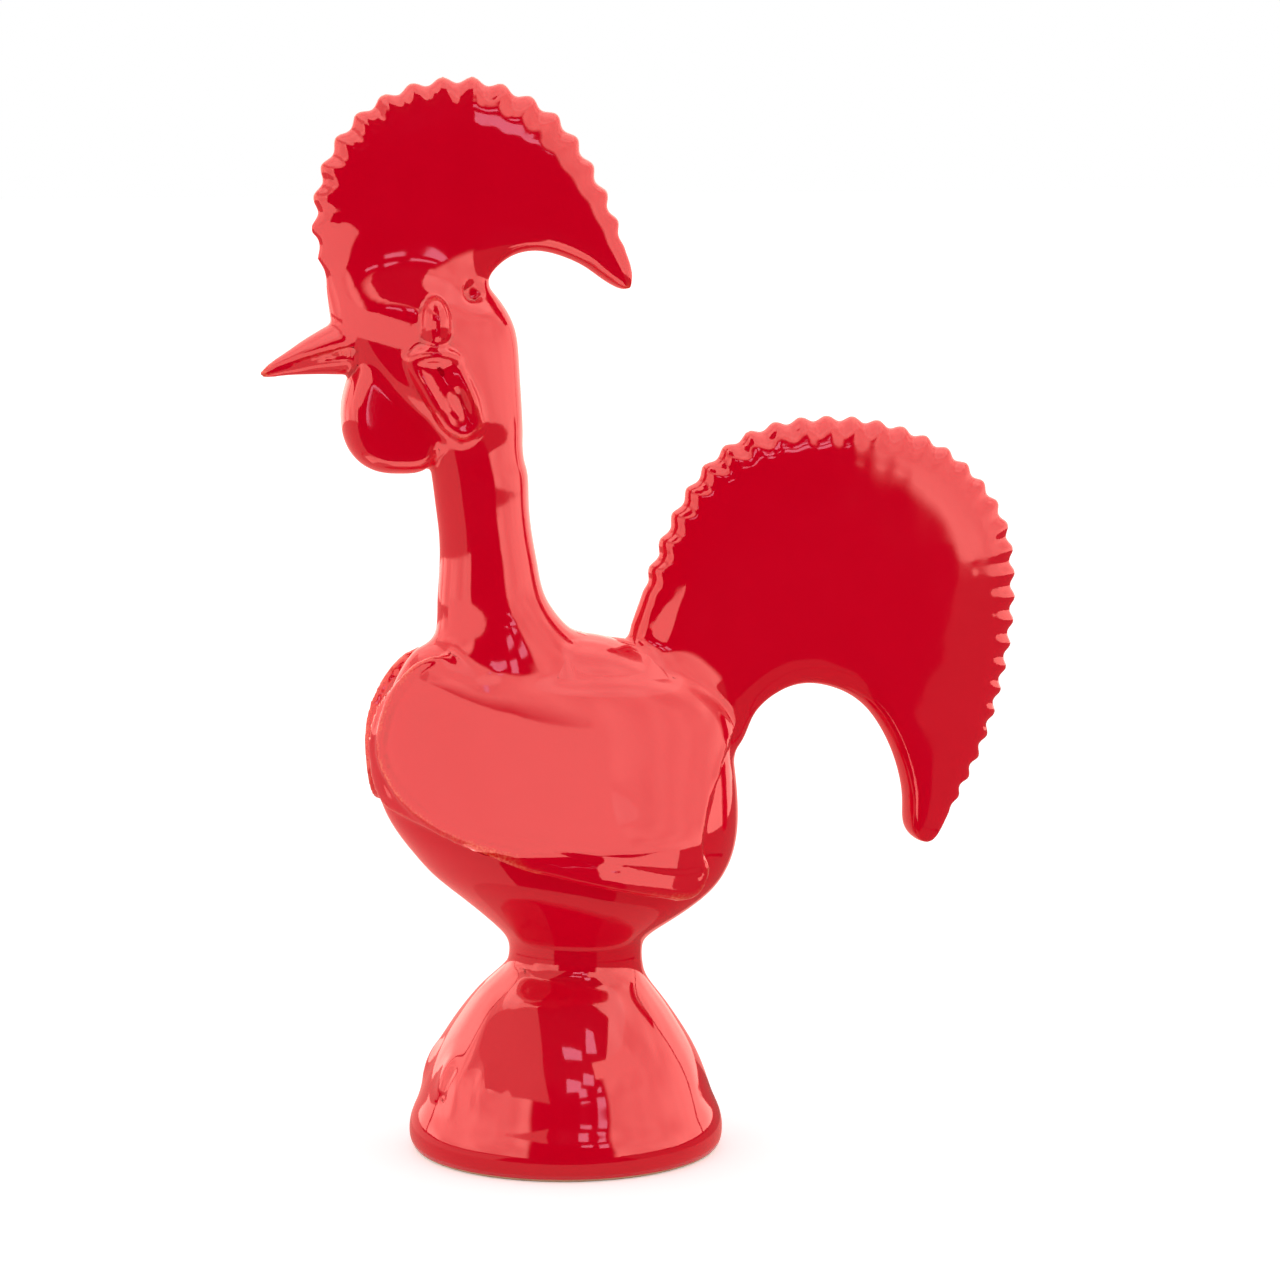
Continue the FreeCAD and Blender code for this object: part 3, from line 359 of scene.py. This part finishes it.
# The flats of the comb and the tail are wiped smooth up to the scallops
FLATS = {"comb": 2.9, "tail": 3.3}
FLAT_RAMP = 0.9
FLAT_WIDTH = 3.5
for node, flat in FLATS.items():
    wiped_flat = smooth_step(np.abs(points[:, 1]), flat, flat + FLAT_RAMP) * (nearest == MEMBERS.index(node))
    sponge(wiped_flat * smooth_step(to_joint, 3, 8), FLAT_WIDTH, ACROSS)
settle(4)
print("sponged")

# %% [markdown]
# ## Pressing the details
# Now single places are pushed in or out, as a finger or a wooden tool would do it. Every move fades out
# with the distance to a place or a line, so no edge of the tool stays behind.


# %% Press
def near_line(points, rows):
    """How far each point is from a line through the given points, in millimetres."""
    line = np.array(curve_through(rows, 0.6))
    best = np.full(len(points), 1e9)
    for spot in line:
        best = np.minimum(best, ((points - spot) ** 2).sum(axis=1))
    return np.sqrt(best)


def bump(distance, width):
    """1 on a line, falling softly to 0 at about twice the width."""
    return np.exp(-0.5 * (distance / width) ** 2)


def mirrored(points):
    """The points with both sides of the rooster laid on the right one."""
    return points * np.array([1, 0, 1]) + np.abs(points) * np.array([0, 1, 0])


set_places(skin, points)
facing = facings(skin)

# The legs are pressed flat on to the bell
LEG_FLATTENING = 0.55
LEG_EDGE = (0.5, 2.5)
LEG_REACH = 8
to_leg = np.minimum(to["leg_left"], to["leg_right"])
for index in np.nonzero((to_leg < LEG_EDGE[1]) & (to["foot_bell"] < LEG_REACH))[0]:
    found = trees["foot_bell"].find_nearest(Vector(points[index] * MM))[0]
    soft = float(1 - smooth_step(to_leg[index], *LEG_EDGE))
    points[index] += (np.array(found) / MM - points[index]) * LEG_FLATTENING * soft

# The creases between the toes and the wrinkles over them on the bell's right side, and the groove down
# the middle of the ear lobe, each a line with its depth and its width
CREASES = [
    ([(-26.4, 19.2, 23.2), (-27.4, 19.9, 19.4), (-28.2, 20.4, 15.6)], 0.50, 0.60),
    ([(-29.6, 11.4, 22.0), (-30.8, 11.0, 18.6), (-31.8, 10.8, 15.4)], 0.40, 0.60),
    ([(-29.0, 14.2, 25.0), (-31.0, 11.4, 20.8)], 0.22, 0.45),
    ([(-30.0, 13.6, 22.4), (-32.2, 10.6, 18.4)], 0.18, 0.45),
    ([(-32.2, 11.6, 183.2), (-29.8, 11.8, 178.8), (-27.0, 11.6, 173.8)], 0.35, 1.00),
]
both = mirrored(points)
push = np.zeros(len(points))
for rows, depth, width in CREASES:
    push -= depth * bump(near_line(both, rows), width)

# The lower edge of each wing flares out to a shelf, and a shallow channel runs behind its lip
SHELF_HEIGHT = 9
SHELF_FLARE = 1.0
SHELF_ROUNDS = 16
CHANNEL_PLACE = 4.2
CHANNEL_DEPTH = 0.35
CHANNEL_WIDTH = 0.8
ON_PANEL = 0.8
lip_line = np.array(WING_LIP)[:, :3]
lower_lip = lip_line[3:14]
belly_lip = lower_lip[4:]
panel = (to_wing < ON_PANEL) * smooth_step(both[:, 1], 6, 9)
shelf = smooth_step(SHELF_HEIGHT - near_line(both, belly_lip), 0, SHELF_HEIGHT) * panel
for step in range(SHELF_ROUNDS):
    shelf = 0.5 * shelf + 0.5 * mean_of_neighbours(shelf)
push += SHELF_FLARE * shelf
push -= CHANNEL_DEPTH * bump(near_line(both, lower_lip) - CHANNEL_PLACE, CHANNEL_WIDTH) * panel

# A slight unevenness from the hand, over everything but the foot ring
WOBBLES = [(20.0, 0.16), (8.0, 0.035)]
for length, height in WOBBLES:
    hand = np.array([noise.noise(Vector(point / length)) for point in points])
    push += hand * height * smooth_step(points[:, 2], 0.5, 4)
points += facing * push[:, None]

# The lower mandible is narrower than the upper one, which overhangs it
MANDIBLE_NARROWING = 0.16
lower = smooth_step(to["upper_beak"] - to["lower_beak"], 0.0, 0.9) * (to["lower_beak"] < 1.0)
points[:, 1] *= 1 - MANDIBLE_NARROWING * lower * smooth_step(-points[:, 0], 47, 51)

# The lip is wiped once more with the sponge
LIP_WIDTH = 1.6
LIP_ROUNDING = 1.5
on_lip = bump(near_line(both, lip_line), LIP_WIDTH)
sponge(np.where(on_lip > 0.3, on_lip, 0), LIP_ROUNDING)
settle(3)
set_places(skin, points)
print("pressed")

# %% [markdown]
# ## Where the glaze runs thin
# Molten glaze draws off sharp edges and gathers in hollows. How sharp the skin is bent tells where:
# a point that stands out of its neighbours is on an edge, one that lies under them is in a hollow.
# Both are kept as attributes for the material, together with the bare clay inside the bell.

# %% Measure the bends
facing = facings(skin)
for step in range(3):
    facing = facing + mean_of_neighbours(facing)
    facing /= np.linalg.norm(facing, axis=1)[:, None]
stands_out = ((points - mean_of_neighbours(points)) * facing).sum(axis=1)
bend = 4 * stands_out / (CLAY_GRAIN / MM) ** 2
for step in range(4):
    bend = 0.5 * bend + 0.5 * mean_of_neighbours(bend)
THIN_BEND = (0.33, 0.75)
POOLED_BEND = (0.16, 0.55)
thin = smooth_step(bend, *THIN_BEND)
pooled = smooth_step(-bend, *POOLED_BEND)

# Inside the bell the skin faces the axis, or lies on the ring that the bell stands on
BELL_CROWN = 44
BELL_RADIUS = 36.5
STANDING_HEIGHT = 0.3
faces_axis = points[:, 0] * facing[:, 0] + points[:, 1] * facing[:, 1] < 0
inside_bell = (points[:, 2] < BELL_CROWN) & (facing[:, 2] < 0.9)
inside_bell &= faces_axis | (points[:, 2] < STANDING_HEIGHT)
inside_bell &= np.hypot(points[:, 0], points[:, 1]) < BELL_RADIUS
inside_bell &= to["foot_bell"] < 2
bare = inside_bell.astype(float)
print("bends:", np.round(np.percentile(bend, [0.1, 1, 5, 50, 95, 99, 99.9]), 2))
print("thin:", int((thin > 0.5).sum()), "pooled:", int((pooled > 0.5).sum()), "bare:", int(bare.sum()))

# %% [markdown]
# ## Parting the skin
# Every member gets its own share of the skin back. For one member, each point gets a height: how much
# nearer the point is to it than to any other member. With that height in place of z, one bisect_plane
# at zero cuts the skin exactly along the joints, and afterwards the points go back to where they
# were. The open side of each piece, which is inside the clay, is filled. The normals are those of the
# whole skin, so that nothing shows where two pieces meet.


# %% Part
CUT_SNAP = 0.002
WELD = 0.003 * MM
for step in range(6):
    away = np.array([0.5 * row + 0.5 * mean_of_neighbours(row) for row in away])

LAYERS = {"place": points * MM, "facing": facing, "thin": thin, "pooled": pooled, "bare": bare}
for name, values in LAYERS.items():
    kinds = skin.verts.layers.float_vector if values.ndim == 2 else skin.verts.layers.float
    layer = kinds.new(name)
    for vertex, value in zip(skin.verts, values.tolist()):
        vertex[layer] = value
point_number = skin.verts.layers.int.new("point_number")
face_number = skin.faces.layers.int.new("face_number")
for index, vertex in enumerate(skin.verts):
    vertex[point_number] = index
corners_of = []
for index, face in enumerate(skin.faces):
    face[face_number] = index
    row = [v.index for v in face.verts]
    corners_of.append((row + row[-1:])[:4])
corners_of = np.array(corners_of)


def share_of_skin(row):
    """The piece of skin that belongs to one member, closed over its joints, with its normals."""
    heights = np.delete(away, row, axis=0).min(axis=0) - away[row]
    wanted = heights[corners_of].max(axis=1) > 0
    finished = heights[corners_of].min(axis=1) > 0
    form = skin.copy()
    own = {name: form.verts.layers.float_vector.get(name) for name in ("place", "facing")}
    number = form.faces.layers.int.get("face_number")
    bmesh.ops.delete(form, geom=[face for face in form.faces if not wanted[face[number]]], context="FACES")
    bmesh.ops.delete(skin, geom=[face for face in skin.faces if finished[face[face_number]]], context="FACES")
    number = form.verts.layers.int.get("point_number")
    for vertex in form.verts:
        vertex.co.z = heights[vertex[number]]
    bmesh.ops.bisect_plane(
        form, geom=list(form.verts) + list(form.edges) + list(form.faces), dist=CUT_SNAP,
        plane_co=(0, 0, 0), plane_no=(0, 0, 1), clear_inner=True)
    for vertex in form.verts:
        vertex.co = vertex[own["place"]]
    bmesh.ops.remove_doubles(form, verts=form.verts, dist=WELD)
    open_edges = [edge for edge in form.edges if edge.is_boundary]
    caps = bmesh.ops.holes_fill(form, edges=open_edges, sides=0)["faces"]
    caps = set(bmesh.ops.triangulate(form, faces=caps, quad_method="BEAUTY", ngon_method="BEAUTY")["faces"])
    form.normal_update()
    corners = []
    for face in form.faces:
        face.smooth = True
        for vertex in face.verts:
            corners.append(tuple(face.normal if face in caps else vertex[own["facing"]]))
    still_open = sum(1 for edge in form.edges if not edge.is_manifold)
    print("%-16s %6d faces, %d caps, %d open edges" % (MEMBERS[row], len(form.faces), len(caps), still_open))
    mesh = as_mesh(form, MEMBERS[row])
    mesh.normals_split_custom_set(corners)
    return mesh


# The members with the most skin go first, and take it with them
by_share = np.argsort(-np.bincount(nearest, minlength=len(MEMBERS)))
pieces = {MEMBERS[row]: share_of_skin(row) for row in by_share}
skin.free()

# %% [markdown]
# ## Red glaze
# The coat is one plain red glaze, run on thick and fired to a wet, glassy gloss. To the eye that is a
# deep, even red under a clear mirror: where the mirror sees something dark the red is pure, and where
# it sees bright warm paper it turns coral. Over sharp edges the glaze draws thin, and the pale clay
# makes it lighter and more orange, with fine specks.


# %% Helpers for materials
def linear(hex_code):
    """An sRGB hex colour as the linear one that Blender works in."""
    parts = [int(hex_code[place:place + 2], 16) / 255 for place in (1, 3, 5)]
    return tuple([c / 12.92 if c <= 0.04045 else ((c + 0.055) / 1.055) ** 2.4 for c in parts] + [1.0])


def add_node(tree, kind, settings=(), **links):
    """Adds a node, sets its properties and inputs, and links the inputs given by name."""
    node = tree.nodes.new(kind)
    for name, value in dict(settings).items():
        if name in node.inputs:
            node.inputs[name].default_value = value
        else:
            setattr(node, name, value)
    for name, output in links.items():
        tree.links.new(output, node.inputs[name.replace("_", " ")])
    return node


def mix_colour(tree, factor, first, second):
    """A colour between two others, each a hex code or an output."""
    mix = tree.nodes.new("ShaderNodeMix")
    mix.data_type = "RGBA"
    tree.links.new(factor, mix.inputs[0])
    for socket, colour in ((mix.inputs[6], first), (mix.inputs[7], second)):
        if isinstance(colour, str):
            socket.default_value = linear(colour)
        else:
            tree.links.new(colour, socket)
    return mix.outputs[2]


# %% Glaze
glaze = bpy.data.materials.new("red_lead_glaze")
glaze.use_nodes = True
tree = glaze.node_tree
shader = tree.nodes["Principled BSDF"]
shader.inputs["Roughness"].default_value = 0.06
shader.inputs["IOR"].default_value = 1.7
where = add_node(tree, "ShaderNodeTexCoord").outputs["Object"]

# Specks where the glaze is thin: 0.4 mm grains of a paler, more orange red
thin_here = add_node(tree, "ShaderNodeAttribute", {"attribute_name": "thin"}).outputs["Fac"]
pooled_here = add_node(tree, "ShaderNodeAttribute", {"attribute_name": "pooled"}).outputs["Fac"]
grains = add_node(tree, "ShaderNodeTexNoise", {"Scale": 1800.0, "Detail": 3.0}, Vector=where).outputs["Fac"]
specks = add_node(
    tree, "ShaderNodeMapRange", {"From Min": 0.42, "From Max": 0.68}, Value=grains).outputs["Result"]
edge_red = mix_colour(tree, specks, "#E2281F", "#EC6E50")
cloud = add_node(tree, "ShaderNodeTexNoise", {"Scale": 90.0, "Detail": 2.0}, Vector=where).outputs["Fac"]
body_red = mix_colour(tree, cloud, "#D80022", "#DE0226")
red = mix_colour(tree, thin_here, body_red, edge_red)
red = mix_colour(tree, pooled_here, red, "#BC0019")
tree.links.new(red, shader.inputs["Base Color"])

# Orange peel: the fired surface rolls very slightly
peel = add_node(tree, "ShaderNodeTexNoise", {"Scale": 420.0, "Detail": 1.5}, Vector=where).outputs["Fac"]
peel_bump = add_node(tree, "ShaderNodeBump", {"Strength": 1.0, "Distance": 0.0000035}, Height=peel)
grain_bump = add_node(
    tree, "ShaderNodeBump", {"Strength": 1.0, "Distance": 0.0000007}, Height=grains,
    Normal=peel_bump.outputs["Normal"])
tree.links.new(grain_bump.outputs["Normal"], shader.inputs["Normal"])

# Bare clay on the foot ring, which is wiped before the firing, and inside the bell
clay_mottle = mix_colour(tree, grains, "#C9A983", "#E2CBA8")
bare_clay = add_node(tree, "ShaderNodeBsdfPrincipled", {"Roughness": 0.85}, Base_Color=clay_mottle)
bare_here = add_node(tree, "ShaderNodeAttribute", {"attribute_name": "bare"}).outputs["Fac"]
height = add_node(tree, "ShaderNodeSeparateXYZ", Vector=where).outputs["Z"]
wiped = add_node(
    tree, "ShaderNodeMapRange", {"From Min": 0.55 * MM, "From Max": 0.85 * MM, "To Min": 1.0, "To Max": 0.0},
    Value=height).outputs["Result"]
bare_or_wiped = add_node(tree, "ShaderNodeMath", {"operation": "MAXIMUM"})
tree.links.new(bare_here, bare_or_wiped.inputs[0])
tree.links.new(wiped, bare_or_wiped.inputs[1])
coat = add_node(tree, "ShaderNodeMixShader")
tree.links.new(bare_or_wiped.outputs["Value"], coat.inputs[0])
tree.links.new(shader.outputs["BSDF"], coat.inputs[1])
tree.links.new(bare_clay.outputs["BSDF"], coat.inputs[2])
tree.links.new(coat.outputs["Shader"], tree.nodes["Material Output"].inputs["Surface"])

# %% Give every piece its place, its glaze and its member
for node, mesh in pieces.items():
    piece = bpy.data.objects.new("glazed_" + node, mesh)
    bpy.context.scene.collection.objects.link(piece)
    piece.data.materials.clear()
    piece.data.materials.append(glaze)
    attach(piece, "root")
    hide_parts(node)
print("pieces:", len(pieces))

# %% [markdown]
# ## The studio
# A glossy glaze shows its surroundings, so the studio is most of the picture. The rooster stands in a
# tent of salmon-tinted paper that is open towards the camera, and the tint is what turns the mirrored
# red to coral. The opening is what the glaze mirrors as the dark bands on the neck and the bell, and
# the seams of the tent are the thin dark lines round the pale panels. Through the opening a few small
# windows shine in. Some cards hang close by: of the ones over the bell two reach a few millimetres
# into the lip of the wing and one begins next to it, and a ring on the floor lies next to the foot.
# The cards are seen in the glaze's mirror only, but the opening also shades the clay and the floor.
# What lights both is plain white air all round.

# %% Camera
CAMERA_AZIMUTH = -14.0
CAMERA_HEIGHT = 8.0
CAMERA_DISTANCE = 1.0
LOOKS_AT = Vector((0.0180, 0.0, 0.1194))

back = Vector((
    math.sin(math.radians(CAMERA_AZIMUTH)) * math.cos(math.radians(CAMERA_HEIGHT)),
    -math.cos(math.radians(CAMERA_AZIMUTH)) * math.cos(math.radians(CAMERA_HEIGHT)),
    math.sin(math.radians(CAMERA_HEIGHT))))
camera_data = bpy.data.cameras.new("camera")
camera_data.lens = 120.5
camera_data.sensor_width = 36.0
camera = bpy.data.objects.new("camera", camera_data)
camera.location = LOOKS_AT + back * CAMERA_DISTANCE
camera.rotation_euler = (-back).to_track_quat("-Z", "Y").to_euler()
bpy.context.scene.collection.objects.link(camera)
bpy.context.scene.camera = camera


# %% Measures of the studio, in metres and in degrees from the camera
TENT = 1.3
TENT_TOP = 1.25
OPENING = (-29, 39)
OPENING_TOP = 1.05
SOFT_SIDE = 4.0
SOFT_TOP = 0.18
FLOOR_LEVEL = 0.0003
BELL_EDGE = 0.0372
FLOOR_INNER = 0.057
FOOT_SEAM = (0.0005, 0.006)
TURN_STEP = 2
PATCH_SCALE = 2.2
WARM = "#FFA297"
WALL_LEVEL = 4.3


# %% Cards
def paper(name, hex_code, strength, unevenness=0.0):
    """A matt card that shines at its own level, in some places more than in others."""
    material = bpy.data.materials.new(name)
    material.use_nodes = True
    tree = material.node_tree
    tree.nodes.clear()
    light = add_node(tree, "ShaderNodeEmission", {"Color": linear(hex_code), "Strength": strength})
    add_node(tree, "ShaderNodeOutputMaterial", Surface=light.outputs["Emission"])
    if unevenness:
        place = add_node(tree, "ShaderNodeTexCoord").outputs["Object"]
        patch = add_node(
            tree, "ShaderNodeTexNoise", {"Scale": PATCH_SCALE, "Detail": 1.0}, Vector=place).outputs["Fac"]
        low, high = strength * (1 - unevenness), strength * (1 + unevenness)
        level = add_node(
            tree, "ShaderNodeMapRange", {"From Min": 0.3, "From Max": 0.7, "To Min": low, "To Max": high},
            Value=patch).outputs["Result"]
        tree.links.new(level, light.inputs["Strength"])
    return material


def hang(name, material, form):
    """Hangs a card in the studio, where only mirroring surfaces see it."""
    hung = bpy.data.objects.new(name, as_mesh(form, name))
    hung.data.materials.append(material)
    bpy.context.scene.collection.objects.link(hung)
    hung.visible_camera = False
    hung.visible_diffuse = False
    hung.visible_shadow = False
    hung.visible_transmission = False
    return hung


def card(name, material, edge, turn, soft=0.0, slant=0.0):
    """A card swept about the upright axis.

    edge is the radius and height of each row of points, and turn the two azimuths it reaches between,
    in degrees from the camera, positive to the right. soft is how many degrees its ends take to fade
    into the paper beside them, for a card whose material does that. slant is how far the top edge falls
    from the first azimuth to the last.
    """
    form = bmesh.new()
    start = math.radians(CAMERA_AZIMUTH + turn[0])
    reach = turn[1] - turn[0]
    ends = [
        form.verts.new((radius * math.sin(start), -radius * math.cos(start), height))
        for radius, height in edge]
    sides = [form.edges.new(pair) for pair in zip(ends, ends[1:])]
    bmesh.ops.spin(
        form, geom=ends + sides, cent=(0, 0, 0), axis=(0, 0, 1), steps=max(int(reach / TURN_STEP), 1),
        angle=math.radians(reach), use_duplicate=False)
    glow = form.verts.layers.float.new("glow")
    top = edge[-1][1]
    for vertex in form.verts:
        here = math.degrees(math.atan2(vertex.co.x, -vertex.co.y)) - CAMERA_AZIMUTH
        inside = min(here - turn[0], turn[1] - here)
        if slant and vertex.co.z > top - 0.01 * MM:
            vertex.co.z -= slant * (here - turn[0]) / reach
        if soft:
            vertex[glow] = max(1 - inside / soft, 1 - (top - vertex.co.z) / SOFT_TOP, 0)
    return hang(name, material, form)


black = paper("black_felt", "#060606", 1.0)
shade_wall = paper("shade_wall", WARM, 2.6, 0.2)
bell_shade = paper("bell_shade", "#FF9C92", 1.5)
dim_floor = paper("dim_floor", WARM, 0.4)
near_floor = paper("near_floor", WARM, 0.85)
pale_floor = paper("pale_floor", WARM, 1.2)
warm_wall = paper("warm_wall", WARM, WALL_LEVEL, 0.22)
warm_ceiling = paper("warm_ceiling", "#FFAAA0", 4.6, 0.15)
window_light = paper("window_light", "#FFC4E2", 3.2)

# The opening is dark, and fades into the paper at its sides and its top
opening = paper("opening", WARM, WALL_LEVEL)
glow = add_node(opening.node_tree, "ShaderNodeAttribute", {"attribute_name": "glow"}).outputs["Fac"]
fade = add_node(
    opening.node_tree, "ShaderNodeMapRange", {"interpolation_type": "SMOOTHSTEP", "To Max": WALL_LEVEL},
    Value=glow).outputs["Result"]
opening.node_tree.links.new(fade, opening.node_tree.nodes["Emission"].inputs["Strength"])
OPENING_ROWS = (-0.2, 0.87, 0.93, 0.99, OPENING_TOP)
tent_opening = card("tent_opening", opening, [(TENT, z) for z in OPENING_ROWS], OPENING, soft=SOFT_SIDE)
tent_opening.visible_diffuse = True


def wall(name, material, turn, heights=(0.0, TENT_TOP), radius=TENT):
    """An upright card between two heights."""
    return card(name, material, [(radius, heights[0]), (radius, heights[1])], turn)


def floor_ring(name, material, turn, radii=(FLOOR_INNER, TENT)):
    """A card on the floor between two radii."""
    return card(name, material, [(radius, FLOOR_LEVEL) for radius in radii], turn)


wall("tent_front", warm_wall, OPENING, (OPENING_TOP, TENT_TOP))
wall("left_shade", shade_wall, (-120, OPENING[0]), (0.80, TENT_TOP), TENT - 0.05)
wall("tent_left", warm_wall, (-180, OPENING[0]))
wall("tent_right", warm_wall, (OPENING[1], 180))
card("tent_ceiling", warm_ceiling, [(0.001, TENT_TOP), (TENT, TENT_TOP)], (0, 360))
floor_ring("floor_near", near_floor, (0, 360), (BELL_EDGE, FLOOR_INNER))
floor_ring("floor_front", black, (-35, 38))
floor_ring("floor_right", dim_floor, (38, 150))
floor_ring("floor_left", pale_floor, (150, 325))
wall("seam_left", black, (-122, -120.4), radius=TENT - 0.02)
wall("seam_right", black, (120.4, 122), radius=TENT - 0.02)
wall("foot_seam_left", black, (-121, -28), FOOT_SEAM, 0.20)
wall("foot_seam_right", black, (38, 121), FOOT_SEAM, 0.20)

# Boards of the tent's paper close by keep the opening off the wing and the cheek, a black strip by the
# comb lets its dark run down towards the eye, and a narrow window shines on the wattle
card("wing_board", warm_wall, [(0.075, 0.0765), (0.075, 0.128), (0.058, 0.1295)], (-80, 38))
wall("wing_tip_board", warm_wall, (24, 62), (0.056, 0.0765), 0.075)
card("cheek_board", warm_wall, [(0.10, 0.176), (0.10, 0.216)], (-72, -9), slant=0.010)
wall("eye_strip", black, (-34, 14), (0.240, 0.345), 0.085)
wall("wattle_window", window_light, (-8.0, -6.0), (0.166, 0.177), 0.092)

# Windows seen through the opening, as azimuths and heights on the tent
WINDOWS = [
    ((-4, 8), (0.58, 0.64)), ((12, 19), (0.60, 0.70)), ((24, 33), (0.55, 0.62)), ((14, 22), (0.44, 0.50)),
    ((27, 34), (0.38, 0.48)),
]
for index, (turn, heights) in enumerate(WINDOWS):
    wall("window_%d" % index, window_light, turn, heights, TENT - 0.3)


# %% Flag over the bell
def flat_card(name, material, corners, level):
    """A level card. Its four corners are given to the right of and in front of the axis, from the camera."""
    form = bmesh.new()
    bmesh.ops.create_grid(form, x_segments=1, y_segments=1, size=1)
    turn = Matrix.Rotation(math.radians(CAMERA_AZIMUTH), 3, "Z")
    places_now = sorted(form.verts, key=lambda v: math.atan2(v.co.y, v.co.x))
    for vertex, (right, front) in zip(places_now, corners):
        vertex.co = turn @ Vector((right * MM, -front * MM, level * MM))
    hang(name, material, form)


# Front and left are meant as the camera sees them. The flag keeps the ceiling off the front of the
# bell, a duller card beside it shades the bell's left, and five small windows shine under them. A card
# of the tent's paper on top hides the flag from above
FLAG_LEVEL = 75.0
FLAG = [(-28, 150), (62, 150), (40, 30), (-24, 30)]
flat_card("flag", black, FLAG, FLAG_LEVEL)
flat_card("flag_top", warm_wall, FLAG, FLAG_LEVEL + 1)
flat_card("bell_shade", bell_shade, [(-100, 110), (-28, 150), (-24, 30), (-75, 0)], FLAG_LEVEL)
BELL_WINDOWS = [
    [(20, 46), (27, 46), (33, 58), (22, 61)],
    [(-4, 60), (17, 61), (18, 68), (-1, 69)],
    [(1, 93), (22, 98), (26, 120), (3, 120)],
    [(22, 82), (37, 83), (44, 102), (26, 103)],
    [(19, 111), (33, 112), (42, 134), (28, 138)],
]
for index, corners in enumerate(BELL_WINDOWS):
    flat_card("bell_window_%d" % index, window_light, corners, FLAG_LEVEL - 1)

# %% Floor and air
floor_form = bmesh.new()
bmesh.ops.create_grid(floor_form, x_segments=1, y_segments=1, size=6.0)
floor = bpy.data.objects.new("floor", as_mesh(floor_form, "floor"))
floor_paint = bpy.data.materials.new("white_paper_sweep")
floor_paint.use_nodes = True
floor_tree = floor_paint.node_tree
floor_shader = floor_tree.nodes["Principled BSDF"]
floor_shader.inputs["Base Color"].default_value = linear("#FBFAF9")
floor_shader.inputs["Roughness"].default_value = 0.9
floor_shader.inputs["Specular IOR Level"].default_value = 0.0
floor_shader.inputs["Emission Color"].default_value = (0.32, 0.32, 0.32, 1.0)
camera_ray = add_node(floor_tree, "ShaderNodeLightPath").outputs["Is Camera Ray"]
floor_tree.links.new(camera_ray, floor_shader.inputs["Emission Strength"])
floor.data.materials.append(floor_paint)
bpy.context.scene.collection.objects.link(floor)

world = bpy.data.worlds.new("white_tent")
world.use_nodes = True
world.node_tree.nodes["Background"].inputs["Color"].default_value = (1, 1, 1, 1)
world.node_tree.nodes["Background"].inputs["Strength"].default_value = 1.0
bpy.context.scene.world = world
bpy.context.scene.view_settings.view_transform = "Standard"
